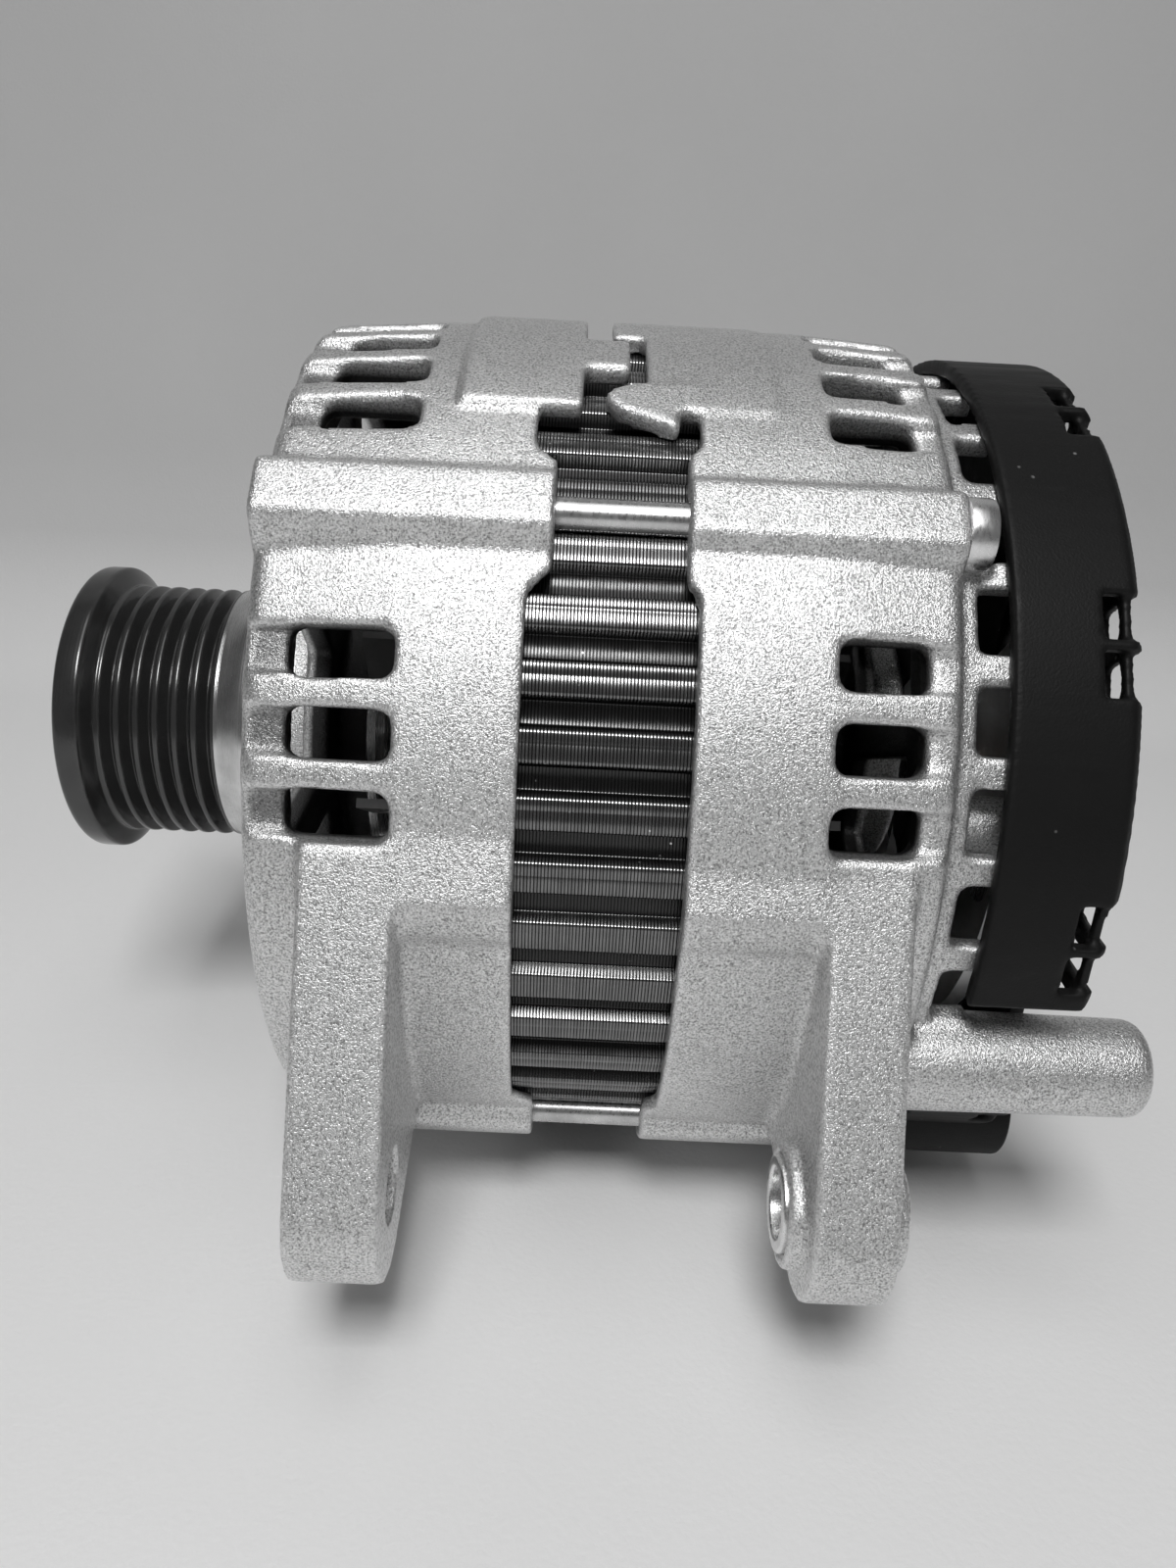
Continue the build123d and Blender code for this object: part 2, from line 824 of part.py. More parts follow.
front_lip_end = front_lip_x + boss_lip
with BuildPart() as front_housing:
    with BuildSketch(Plane.XZ):
        with BuildLine():
            Polyline(
                (front_lip_end, 0),
                (front_face_x, 0),
                (front_face_x, front_rim_r - 3),
            )
            RadiusArc((front_face_x, front_rim_r - 3), (front_rim_x, front_rim_r), 3.2)
            Polyline(
                (front_rim_x, front_rim_r),
                (front_slot_x + front_slot_length, front_skin_r),
                (front_lip_end, front_skin_r),
                (front_lip_end, 0),
            )
        make_face()
    revolve(axis=Axis.X)
    ring(front_bearing_x - 2, front_bearing_end, 0, front_bearing_r + front_boss_wall)
    ridges(front_face_x, front_lip_end)
    sector(front_pad_x, front_pad_edge, stator_r, pad_r, pad_low, pad_high)
    sector(front_pad_edge - 1, front_finger_tip, stator_r, pad_r, finger_low, finger_high)
    ear(front_ear_x, front_ear_width)
    shoulder(front_ear_x, front_lip_x)
    turned_cavity = [
        (front_wall_back, 0),
        (front_wall_back, cavity_r - 2),
        (front_wall_back + 2, cavity_r),
        (stator_front, cavity_r),
        (stator_front, stator_r),
        (front_finger_tip + 1, stator_r),
        (front_finger_tip + 1, 0),
    ]
    with BuildSketch(Plane.XZ):
        with BuildLine():
            Polyline(*turned_cavity, close=True)
        make_face()
    revolve(axis=Axis.X, mode=Mode.SUBTRACT)
    ring(front_wall_back - 1, front_bearing_end, 0, front_bearing_r + front_boss_wall)
    side_recess(front_lip_x, front_lip_end + 1)
    ring(front_bearing_x, front_bearing_end + 1, 0, front_bearing_r, mode=Mode.SUBTRACT)
    ring(front_bearing_x - 3, front_bearing_x + 1, 0, front_bearing_r - 3, mode=Mode.SUBTRACT)
    with BuildSketch(across(front_face_x - 1)):
        Circle(window_outer_r)
        Circle(window_inner_r, mode=Mode.SUBTRACT)
        with PolarLocations((window_inner_r + window_outer_r) / 2, window_count):
            Rectangle(window_outer_r - window_inner_r + 4, spoke_width, mode=Mode.SUBTRACT)
    extrude(amount=-(wall + 2), mode=Mode.SUBTRACT)
    rod(front_face_x - face_nub_height, front_wall_back, face_nub_r, face_nub_radial,
        face_nub_angle)
    bolt_holes(bolt_reach, front_finger_tip)
    rod(front_ear_x - 1, front_ear_x + front_ear_width + 1, pivot_bore_r, pivot_r, pivot_angle,
        mode=Mode.SUBTRACT)
    for k in range(retainer_screw_count):
        rod(front_bearing_end + retainer_thickness - retainer_screw_length, front_bearing_end + 1,
            retainer_screw_r, retainer_screw_radial, 45 + k * 90, mode=Mode.SUBTRACT)
    corner_wedges(front_lip_x, 1)
    rim_strips(front_face_x - 3, front_slot_x + 4, front_rim_r, front_slot_angle)
    air_slots(front_slot_x, front_slot_length, front_slot_angle)
save(front_housing.part, "front_housing")

rear_lip_end = rear_lip_x - boss_lip + 1.5
with BuildPart() as rear_housing:
    with BuildSketch(Plane.XZ):
        with BuildLine():
            Polyline(
                (rear_lip_end, 0),
                (rear_lip_end, rear_skin_r),
                (rear_slot_x, rear_skin_r),
                (rear_rim_x - 2, rear_rim_r),
            )
            RadiusArc((rear_rim_x - 2, rear_rim_r), (rear_rim_x, rear_rim_r - 2), 2.2)
            Polyline((rear_rim_x, rear_rim_r - 2), (rear_rim_x, 0), (rear_lip_end, 0))
        make_face()
    revolve(axis=Axis.X)
    ridges(rear_lip_end, rear_rim_x)
    sector(rear_pad_edge, rear_pad_x, stator_r, pad_r, pad_low, pad_high)
    with BuildSketch(facing(pad_low, stator_r - 3)):
        Polygon(
            (rear_lip_x, -6), (rear_finger_tip + 2, 0), (rear_finger_tip, 3),
            (rear_finger_tip + 3, 6), (rear_lip_x, rear_finger_height), align=None,
        )
    extrude(amount=pad_r - stator_r + 3)
    ear(rear_lug_x, rear_lug_width)
    shoulder(rear_lip_x, rear_lug_x + rear_lug_width)
    rod(rear_lug_x - lug_boss_reach, rear_lug_x + rear_lug_width + lug_boss_reach, lug_boss_r,
        pivot_r, pivot_angle)
    with BuildSketch(lengthwise(long_boss_angle)):
        with BuildLine():
            tip = (long_boss_end, long_boss_radial + long_boss_tip_r - long_boss_round)
            shoulder_end = (long_boss_end - long_boss_round, long_boss_radial + long_boss_tip_r)
            Polyline(
                tip, (long_boss_end, long_boss_radial), (long_boss_start, long_boss_radial),
                (long_boss_start, long_boss_radial + long_boss_r), shoulder_end,
            )
            RadiusArc(shoulder_end, tip, long_boss_round)
        make_face()
    revolve(axis=Axis(outward(long_boss_angle) * long_boss_radial, (1, 0, 0)))
    with BuildSketch(Plane.XZ):
        with BuildLine():
            Polyline(
                (rear_finger_tip - 1, 0), (rear_finger_tip - 1, stator_r),
                (stator_back, stator_r), (stator_back, cavity_r),
                (rear_wall_front - 2, cavity_r), (rear_wall_front, cavity_r - 2),
                (rear_wall_front, 0), close=True,
            )
        make_face()
    revolve(axis=Axis.X, mode=Mode.SUBTRACT)
    ring(rear_bearing_x - 2, rear_bearing_end + 2, 0, rear_seat_r + rear_boss_wall)
    ring(rear_rim_x - 1, drum_back, drum_r - drum_wall, drum_r)
    side_recess(rear_lip_end - 1, rear_lip_x)
    ring(rear_bearing_x, rear_bearing_end + 3, 0, rear_seat_r, mode=Mode.SUBTRACT)
    ring(rear_bearing_x - 3, rear_bearing_x + 1, 0, rear_bearing_r - 3, mode=Mode.SUBTRACT)
    with BuildSketch(across(rear_wall_front - 1)):
        Circle(window_outer_r)
        Circle(rear_window_inner_r, mode=Mode.SUBTRACT)
        with PolarLocations((rear_window_inner_r + window_outer_r) / 2, window_count,
                            start_angle=180 / window_count):
            Rectangle(window_outer_r - rear_window_inner_r + 6, spoke_width, mode=Mode.SUBTRACT)
    extrude(amount=-(rear_wall + 2), mode=Mode.SUBTRACT)
    for angle in post_angles:
        rod(rear_wall_front, cover_inside, post_r, post_radial, angle)
        rod(cover_inside - cover_screw_length, cover_inside + 1, cover_screw_r, post_radial,
            angle, mode=Mode.SUBTRACT)
    for angle in rectifier_screw_angles:
        rod(rear_wall_front, negative_plate_x, spacer_r, rectifier_screw_radial, angle)
        rod(rear_wall_front - 1, negative_plate_x + 1, rectifier_screw_r,
            rectifier_screw_radial, angle, mode=Mode.SUBTRACT)
    for side in (-1, 1):
        screw_y = side * (regulator_half_width + regulator_foot / 2)
        with BuildSketch(Plane.YZ.offset(rear_wall_front)):
            with Locations((screw_y, regulator_foot_z)):
                Circle(regulator_post_r)
        extrude(amount=regulator_x - rear_wall_front)
        with BuildSketch(Plane.YZ.offset(rear_wall_front)):
            with Locations((screw_y, regulator_foot_z)):
                Circle(regulator_screw_r)
        extrude(amount=regulator_x - rear_wall_front + 1, mode=Mode.SUBTRACT)
    for angle in bolt_angles:
        rod(rear_rim_x, rear_rim_x + bolt_head_height + 2, bolt_head_r + open_gap,
            bolt_circle_r, angle, mode=Mode.SUBTRACT)
    bolt_holes(rear_finger_tip, rear_rim_x + 1)
    rod(rear_rim_x, drum_back + 1, terminal_r, terminal_radial, terminal_angle,
        mode=Mode.SUBTRACT)
    rod(rear_lug_x - lug_boss_reach - 1, rear_lug_x + rear_lug_width + lug_boss_reach + 1,
        bush_r, pivot_r, pivot_angle, mode=Mode.SUBTRACT)
    rod(long_boss_end - long_boss_hole_depth, long_boss_end + 1, long_boss_hole_r,
        long_boss_radial, long_boss_angle, mode=Mode.SUBTRACT)
    with BuildSketch(across(rear_lug_x - 1, ear_face_angle)):
        with Locations((ear_face, pivot_up + lug_mark_above)):
            Rectangle(2 * lug_mark_depth, lug_mark_width)
    extrude(amount=-(rear_lug_width + 2), mode=Mode.SUBTRACT)
    corner_wedges(rear_lip_x, -1)
    rim_strips(rear_slot_x + rear_slot_length - 4, rear_rim_x + 3, rear_rim_r, rear_slot_angle)
    planes = [facing(k * 360 / drum_window_count, drum_r - drum_wall - 1)
              for k in range(drum_window_count)]
    with BuildSketch(*planes):
        with Locations((rear_rim_x + 1.5 + drum_window_length / 2, 0)):
            RectangleRounded(drum_window_length, drum_window_width, 1.4)
    extrude(amount=drum_wall + 2, mode=Mode.SUBTRACT)
    air_slots(rear_slot_x, rear_slot_length, rear_slot_angle)
save(rear_housing.part, "rear_housing")

with BuildPart() as lug_bush:
    x0 = rear_lug_x - lug_boss_reach - bush_proud
    rod(x0, x0 + bush_length, bush_r - running_gap, pivot_r, pivot_angle)
    rod(x0 - 1, x0 + bush_length + 1, pivot_bore_r, pivot_r, pivot_angle, mode=Mode.SUBTRACT)
save(lug_bush.part, "lug_bush")

# Output terminal in its round sleeve
with BuildPart() as terminal_sleeve:
    rod(rear_rim_x, terminal_end, terminal_r - seat_gap, terminal_radial, terminal_angle)
    rod(rear_rim_x + 3, terminal_end + 1, terminal_r - terminal_wall, terminal_radial,
        terminal_angle, mode=Mode.SUBTRACT)
    sector(positive_plate_x - open_gap, positive_plate_x + positive_plate_thickness + open_gap,
           plate_outer_r - 2, terminal_radial, terminal_angle - 6, terminal_angle + 6,
           mode=Mode.SUBTRACT)
save(terminal_sleeve.part, "terminal_sleeve")

# The stud has its thread's outer size where it is bare and the root's size inside the nut.
nut_x = positive_plate_x + positive_plate_thickness
with BuildPart() as terminal_stud:
    turned_beside([
        (positive_plate_x - stud_head, 0),
        (positive_plate_x - stud_head, stud_head_r),
        (positive_plate_x, stud_head_r),
        (positive_plate_x, stud_root_r),
        (nut_x + nut_height, stud_root_r),
        (nut_x + nut_height, stud_r),
        (stud_end, stud_r),
        (stud_end, 0),
    ], terminal_radial, terminal_angle)
save(terminal_stud.part, "terminal_stud")

with BuildPart() as terminal_nut:
    hex_rod(nut_x, nut_x + nut_height, nut_flats, terminal_radial, terminal_angle)
    rod(nut_x - 1, nut_x + nut_height + 1, stud_root_r, terminal_radial, terminal_angle,
        mode=Mode.SUBTRACT)
save(terminal_nut.part, "terminal_nut")

# Rear cover
def corner_notches(x0, x1, inner):
    """Cuts the notches round the cover's back edge, each with a rib left in its middle."""
    planes = [facing(notch_angle + k * 360 / notch_count, inner) for k in range(notch_count)]
    half = (notch_width - notch_rib) / 2
    with BuildSketch(*planes) as outline:
        for side in (-1, 1):
            with Locations(((x0 + x1) / 2, side * (notch_rib + half) / 2)):
                Rectangle(x1 - x0, half)
    extrude(outline.sketch, amount=cover_r - inner + 3, mode=Mode.SUBTRACT)


def corner_holes():
    """Cuts an air hole through the thin floor of each half of every notch."""
    with BuildSketch(across(cover_inside - 1)) as outline:
        for k in range(notch_count):
            turn = notch_angle + k * 360 / notch_count
            for side in (-1, 1):
                with Locations(Location((0, 0, 0), (0, 0, turn))):
                    with Locations((notch_hole_r, side * (notch_rib + notch_width) / 4)):
                        RectangleRounded(notch_hole_width, notch_hole_length, 1.2)
    extrude(outline.sketch, amount=-(cover_wall + 2), mode=Mode.SUBTRACT)


with BuildPart() as rear_cover:
    with BuildSketch(Plane.XZ):
        with BuildLine():
            Polyline(
                (cover_front, cover_r - cover_wall), (cover_front, cover_r),
                (cover_back - 1.5, cover_r), (cover_back, cover_r - 1.5), (cover_back, 0),
                (cover_inside, 0), (cover_inside, cover_r - cover_wall), close=True,
            )
        make_face()
    revolve(axis=Axis.X)
    notch_floor = cover_inside + notch_plate
    corner_notches(cover_back - notch_depth, cover_inside, cover_r - 2 * cover_wall)
    corner_notches(notch_floor, cover_back + 1, notch_inner_r)
    corner_notches(cover_inside - 1, notch_floor + 1, notch_plate_r)
    corner_holes()
    with BuildSketch(across(cover_inside - 1)):
        with PolarLocations((vent_inner_r + vent_outer_r) / 2, vent_count):
            SlotOverall(vent_outer_r - vent_inner_r, vent_width)
    extrude(amount=-(cover_wall + 3), mode=Mode.SUBTRACT)
    rod(cover_front - 1, cover_back + 1, terminal_r, terminal_radial, terminal_angle,
        mode=Mode.SUBTRACT)
    rod(cover_front - 1, cover_back + 1, long_boss_r + open_gap, long_boss_radial,
        long_boss_angle, mode=Mode.SUBTRACT)
    for angle in post_angles:
        rod(cover_inside - 1, cover_back + 1, cover_screw_r, post_radial, angle,
            mode=Mode.SUBTRACT)
    with BuildSketch(Plane.YZ.offset(cover_inside - 1)):
        with Locations((0, socket_z)):
            RectangleRounded(socket_width + 1, socket_height + 1, 3)
    extrude(amount=cover_wall + 3, mode=Mode.SUBTRACT)
save(rear_cover.part, "rear_cover")

with BuildPart() as cover_screws:
    for angle in post_angles:
        rod(cover_inside - cover_screw_length, cover_back, cover_screw_r, post_radial, angle)
        rod(cover_back, cover_back + cover_screw_head, cover_screw_head_r, post_radial, angle)
save(cover_screws.part, "cover_screws")


# Rectifier
def diode_angles(start):
    """Angles of the diodes pressed into one plate."""
    return [start + k * diode_pitch for k in range(diode_count)]


def rectifier_plate(x, thickness, first_diode):
    """A cooling plate round most of the shaft, with holes for its diodes and its screws."""
    with BuildPart() as plate:
        sector(x, x + thickness, plate_inner_r, plate_outer_r, plate_low, plate_high)
        for angle in diode_angles(first_diode):
            rod(x - 1, x + thickness + 1, diode_r, diode_radial, angle, mode=Mode.SUBTRACT)
        for angle in rectifier_screw_angles:
            rod(x - 1, x + thickness + 1, rectifier_screw_r, rectifier_screw_radial, angle,
                mode=Mode.SUBTRACT)
    return plate.part


negative_plate = rectifier_plate(negative_plate_x, negative_plate_thickness, 175)
save(negative_plate, "rectifier_negative_plate")
plain_plate = rectifier_plate(positive_plate_x, positive_plate_thickness, 155)
with BuildPart() as positive_plate:
    add(plain_plate)
    with BuildSketch(across(positive_plate_x, terminal_angle)):
        with Locations((terminal_radial, 0)):
            Circle(stud_head_r)
        with Locations(((terminal_radial + plate_outer_r) / 2 - 2, 0)):
            Rectangle(terminal_radial - plate_outer_r + 6, 8)
        with Locations((terminal_radial, 0)):
            Circle(stud_root_r, mode=Mode.SUBTRACT)
    extrude(amount=-positive_plate_thickness)
save(positive_plate.part, "rectifier_positive_plate")

with BuildPart() as negative_diodes:
    for angle in diode_angles(175):
        rod(negative_plate_x - diode_reach, negative_plate_x + negative_plate_thickness, diode_r,
            diode_radial, angle)
        rod(negative_plate_x + negative_plate_thickness, positive_plate_x - 3, 0.9,
            diode_radial, angle)
save(negative_diodes.part, "negative_diodes")

with BuildPart() as positive_diodes:
    for angle in diode_angles(155):
        rod(positive_plate_x, positive_plate_x + positive_plate_thickness + diode_reach, diode_r,
            diode_radial, angle)
        rod(negative_plate_x + negative_plate_thickness + 3, positive_plate_x, 0.9,
            diode_radial, angle)
save(positive_diodes.part, "positive_diodes")

plates_apart = negative_plate_x + negative_plate_thickness
with BuildPart() as rectifier_spacers:
    for angle in rectifier_screw_angles:
        rod(plates_apart, positive_plate_x, spacer_r, rectifier_screw_radial, angle)
        rod(plates_apart - 1, positive_plate_x + 1, rectifier_screw_r, rectifier_screw_radial,
            angle, mode=Mode.SUBTRACT)
save(rectifier_spacers.part, "rectifier_spacers")

plates_back = positive_plate_x + positive_plate_thickness
with BuildPart() as rectifier_screws:
    for angle in rectifier_screw_angles:
        rod(rear_wall_front, plates_back, rectifier_screw_r, rectifier_screw_radial, angle)
        rod(plates_back, plates_back + rectifier_screw_head, rectifier_screw_head_r,
            rectifier_screw_radial, angle)
save(rectifier_screws.part, "rectifier_screws")

# Regulator with the brush pockets and the connector
regulator_back = regulator_x + regulator_length
socket_end = cover_back + socket_reach
with BuildPart() as regulator:
    with BuildSketch(Plane.YZ.offset(regulator_x)):
        with Locations((0, (regulator_bottom + regulator_top) / 2)):
            RectangleRounded(2 * regulator_half_width, regulator_top - regulator_bottom, 3)
    extrude(amount=regulator_length)
    with BuildSketch(Plane.YZ.offset(regulator_x)):
        with Locations((0, regulator_foot_z)):
            RectangleRounded(2 * (regulator_half_width + regulator_foot), regulator_foot_height, 4)
    extrude(amount=regulator_foot_thickness)
    with BuildSketch(Plane.YZ.offset(regulator_back - 1)):
        with Locations((0, socket_z)):
            RectangleRounded(socket_width, socket_height, 2.5)
    extrude(amount=socket_end - regulator_back + 1)
    with BuildSketch(Plane.YZ.offset(regulator_back + 0.5)):
        with Locations((0, socket_z)):
            RectangleRounded(socket_width - 2 * socket_wall, socket_height - 2 * socket_wall, 1.5)
    extrude(amount=socket_end, mode=Mode.SUBTRACT)
    for x in brush_places:
        with BuildSketch(Plane.XY.offset(regulator_bottom - 1)):
            with Locations((x, 0)):
                Rectangle(brush_x_size + 2 * seat_gap, brush_y_size + 2 * seat_gap)
        extrude(amount=pocket_top - regulator_bottom + 1, mode=Mode.SUBTRACT)
    for side in (-1, 1):
        with BuildSketch(Plane.YZ.offset(regulator_x - 1)):
            with Locations((side * (regulator_half_width + regulator_foot / 2), regulator_foot_z)):
                Circle(regulator_screw_r)
        extrude(amount=regulator_foot_thickness + 2, mode=Mode.SUBTRACT)
save(regulator.part, "regulator")

with BuildPart() as connector_pins:
    for k in range(pin_count):
        pin_y = (k - (pin_count - 1) / 2) * pin_pitch
        with BuildSketch(Plane.YZ.offset(regulator_back + 0.5)):
            with Locations((pin_y, socket_z)):
                Rectangle(pin_thickness, pin_width)
        extrude(amount=socket_end - regulator_back - 2)
save(connector_pins.part, "connector_pins")

with BuildPart() as regulator_screws:
    for side in (-1, 1):
        screw_y = side * (regulator_half_width + regulator_foot / 2)
        with BuildSketch(Plane.YZ.offset(rear_wall_front)):
            with Locations((screw_y, regulator_foot_z)):
                Circle(regulator_screw_r)
        extrude(amount=regulator_x + regulator_foot_thickness - rear_wall_front)
        with BuildSketch(Plane.YZ.offset(regulator_x + regulator_foot_thickness)):
            with Locations((screw_y, regulator_foot_z)):
                Circle(regulator_screw_head_r)
        extrude(amount=regulator_screw_head)
save(regulator_screws.part, "regulator_screws")


def brush(x):
    """A carbon brush with its foot shaped to the slip ring."""
    with BuildPart() as block:
        with BuildSketch(Plane.XY.offset(slip_ring_r - 1.2)):
            with Locations((x, 0)):
                Rectangle(brush_x_size, brush_y_size)
        extrude(amount=brush_back - slip_ring_r + 1.2)
        ring(x - brush_x_size, x + brush_x_size, 0, brush_tip, mode=Mode.SUBTRACT)
    return block.part


def brush_spring(x):
    """The coil spring between a brush and the roof of its pocket."""
    height = pocket_top - brush_back
    pitch = (height - 2 * spring_wire_r) / spring_turns
    coil_middle_r = brush_x_size / 2 - spring_wire_r - seat_gap
    with BuildPart() as spring:
        with BuildLine(Plane(origin=(x, 0, brush_back + spring_wire_r))) as path:
            Helix(pitch, pitch * spring_turns, coil_middle_r)
        with BuildSketch(path.wire() ^ 0):
            RegularPolygon(spring_wire_r, 6)
        sweep(path=path.wire(), is_frenet=True)
    return spring.part


for brush_x, brush_name in zip(brush_places, ("front", "rear")):
    save(brush(brush_x), f"{brush_name}_brush")
    save(brush_spring(brush_x), f"{brush_name}_brush_spring")
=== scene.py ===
# %% [markdown]
# # Dressing an alternator
# The machine is already built as separate pieces at their real size, and it comes in as a fixed
# frame. This notebook gives it its surfaces: blasted castings, a ribbed steel stack, a dark pulley,
# a moulded black cover. Every length is in metres, X runs along the shaft and Z is up.

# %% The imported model
import json
from math import pi

import bmesh
import bpy
import numpy as np
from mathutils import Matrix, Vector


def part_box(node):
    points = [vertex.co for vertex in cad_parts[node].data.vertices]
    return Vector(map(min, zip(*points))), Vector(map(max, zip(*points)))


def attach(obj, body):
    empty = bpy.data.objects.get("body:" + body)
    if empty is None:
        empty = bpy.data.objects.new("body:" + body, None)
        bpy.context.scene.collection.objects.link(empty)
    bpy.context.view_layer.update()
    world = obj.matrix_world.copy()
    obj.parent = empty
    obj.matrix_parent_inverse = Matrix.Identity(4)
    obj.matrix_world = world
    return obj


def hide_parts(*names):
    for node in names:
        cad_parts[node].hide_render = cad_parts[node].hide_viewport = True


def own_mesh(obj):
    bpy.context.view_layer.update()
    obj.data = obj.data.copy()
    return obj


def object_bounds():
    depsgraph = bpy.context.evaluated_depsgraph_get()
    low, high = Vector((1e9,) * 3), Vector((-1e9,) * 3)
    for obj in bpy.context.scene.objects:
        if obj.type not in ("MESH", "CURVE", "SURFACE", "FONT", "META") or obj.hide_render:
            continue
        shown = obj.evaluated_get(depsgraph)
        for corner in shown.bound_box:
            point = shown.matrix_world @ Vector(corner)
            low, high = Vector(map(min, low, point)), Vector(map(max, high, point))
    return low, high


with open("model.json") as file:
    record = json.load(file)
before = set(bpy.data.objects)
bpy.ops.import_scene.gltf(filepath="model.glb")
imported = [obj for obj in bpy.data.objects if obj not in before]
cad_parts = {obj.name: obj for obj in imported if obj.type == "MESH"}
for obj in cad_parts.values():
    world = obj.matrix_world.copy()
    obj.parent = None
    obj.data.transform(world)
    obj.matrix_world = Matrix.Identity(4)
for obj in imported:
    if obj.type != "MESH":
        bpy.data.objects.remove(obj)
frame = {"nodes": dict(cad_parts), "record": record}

MM = 0.001
packed_box = [list(corner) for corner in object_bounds()]
print("nodes", len(frame["nodes"]), "box", packed_box)

# %% [markdown]
# ## The camera
# The photograph looks down on the standing machine at a little over twenty degrees, from close by,
# so near parts look larger. Its place and its turns come from a fit of known sizes, such as the
# bolt circle, to the picture. It could be turned by three angles in the window instead. Here the
# three axes are built as rows of a matrix, which keeps the small yaw and roll exact. The sensor's
# 36 mm lie along the picture's long side.

# %% Camera
CAMERA_AT = np.array([77.56, -221.74, 84.25]) * MM
LOOKS_DOWN = np.radians(23.5)
YAW = np.radians(-0.72)
ROLL = np.radians(2.79)
LENS = 26.44
SENSOR = 36.0
NEAREST = 0.01


def turn(angle, axis):
    """Rotation matrix about one axis: cosine and sine in the plane of the other two."""
    c, s = np.cos(angle), np.sin(angle)
    first, second = [k for k in range(3) if k != axis]
    matrix = np.eye(3)
    matrix[first, first] = matrix[second, second] = c
    matrix[first, second] = s if axis == 1 else -s
    matrix[second, first] = -matrix[first, second]
    return matrix


across_row = np.array([1.0, 0.0, 0.0])
upward_row = np.array([0.0, np.sin(LOOKS_DOWN), np.cos(LOOKS_DOWN)])
viewer_row = np.array([0.0, -np.cos(LOOKS_DOWN), np.sin(LOOKS_DOWN)])
level = np.stack([across_row, -upward_row, -viewer_row])
right, down, forward = turn(ROLL, 2) @ turn(YAW, 1) @ level

camera = bpy.data.objects.new("Camera", bpy.data.cameras.new("Camera"))
bpy.context.collection.objects.link(camera)
camera_matrix = np.eye(4)
camera_matrix[:3, :3] = np.stack([right, -down, -forward], axis=1)
camera_matrix[:3, 3] = CAMERA_AT
camera.matrix_world = camera_matrix.T.tolist()
camera.data.lens = LENS
camera.data.sensor_width = SENSOR
camera.data.clip_start = NEAREST
bpy.context.scene.camera = camera
print("camera looks along", forward.round(3))

# %% [markdown]
# ## Surfaces from grids
# Almost everything round on this machine is a grid of points: rows along the shaft, columns round
# it. The helpers below take such a grid as one array and make its faces by index arithmetic, so no
# shape needs a loop over its points.

# %% Grid helpers
def grid_faces(rows, columns, closed_rows=False):
    """Four-cornered faces of a grid whose columns close into a ring.

    Point i, j has index i * columns + j.
    """
    i = np.arange(rows if closed_rows else rows - 1)[:, None]
    j = np.arange(columns)[None, :]
    i_next, j_next = (i + 1) % rows, (j + 1) % columns
    corners = np.broadcast_arrays(i * columns + j, i * columns + j_next,
                                  i_next * columns + j_next, i_next * columns + j)
    return np.stack(corners, axis=-1).reshape(-1, 4)


def put_mesh(name, points, faces):
    """A new object at the origin whose mesh has these points and faces, with smooth shading."""
    mesh = bpy.data.meshes.new(name)
    mesh.from_pydata(points.reshape(-1, 3), [], faces)
    mesh.update()
    mesh.shade_smooth()
    piece = bpy.data.objects.new(name, mesh)
    bpy.context.collection.objects.link(piece)
    return piece


SAME_PLACE = 1e-7


def tidy_mesh(piece, sharp=None):
    """Merges points that lie together, turns faces outwards and marks edges sharper than an angle."""
    made = bmesh.new()
    made.from_mesh(piece.data)
    bmesh.ops.remove_doubles(made, verts=made.verts, dist=SAME_PLACE)
    bmesh.ops.dissolve_degenerate(made, edges=made.edges, dist=SAME_PLACE)
    bmesh.ops.recalc_face_normals(made, faces=made.faces)
    made.to_mesh(piece.data)
    made.free()
    if sharp is not None:
        piece.data.set_sharp_from_angle(angle=np.radians(sharp))
    return piece


def outward(degrees):
    """Unit vector from the shaft to an angle: 0 is the near side and 90 the top."""
    angle = np.radians(degrees)
    return np.stack([0 * angle, -np.cos(angle), np.sin(angle)], axis=-1)


def turned_points(outline, sides, beside=(0.0, 0.0), flats=None):
    """Points of an outline of (x, r) turned round a line along X.

    Point i, j lies at x_i and at r_i from the line, in direction j. With flats, r is cut off at a
    hexagon that far across: half the flats over the cosine of the angle from the nearest flat.
    """
    outline = np.asarray(outline, float)
    degrees = np.arange(sides) * 360.0 / sides
    radius = np.repeat(outline[:, 1:2], sides, axis=1)
    if flats is not None:
        off_flat = np.radians((degrees + 30) % 60 - 30)
        hexagon = (np.asarray(flats, float).reshape(-1, 1) / 2) / np.cos(off_flat)
        radius = np.minimum(radius, hexagon)
    middle = outward(np.float64(beside[1])) * beside[0]
    points = outward(degrees)[None] * radius[..., None] + middle
    points[..., 0] = outline[:, 0:1]
    return points


def rounded(corners, radius, steps=4):
    """Rounds each corner of an outline with a parabola.

    It leaves the corner's one side and reaches the other at the same distance, the radius or at
    most 0.45 of the side: (1-t)^2 A + 2t(1-t) C + t^2 B.
    """
    corners = np.asarray(corners, float)
    before = np.roll(corners, 1, axis=0) - corners
    after = np.roll(corners, -1, axis=0) - corners
    cut = []
    for side in (before, after):
        length = np.maximum(np.linalg.norm(side, axis=1, keepdims=True), 1e-12)
        reach = np.minimum(np.reshape(radius, (-1, 1)), 0.45 * length)
        cut.append(corners + side / length * reach)
    t = np.linspace(0, 1, steps)[None, :, None]
    start, corner, end = cut[0][:, None], corners[:, None], cut[1][:, None]
    return ((1 - t) ** 2 * start + 2 * t * (1 - t) * corner + t**2 * end).reshape(-1, 2)


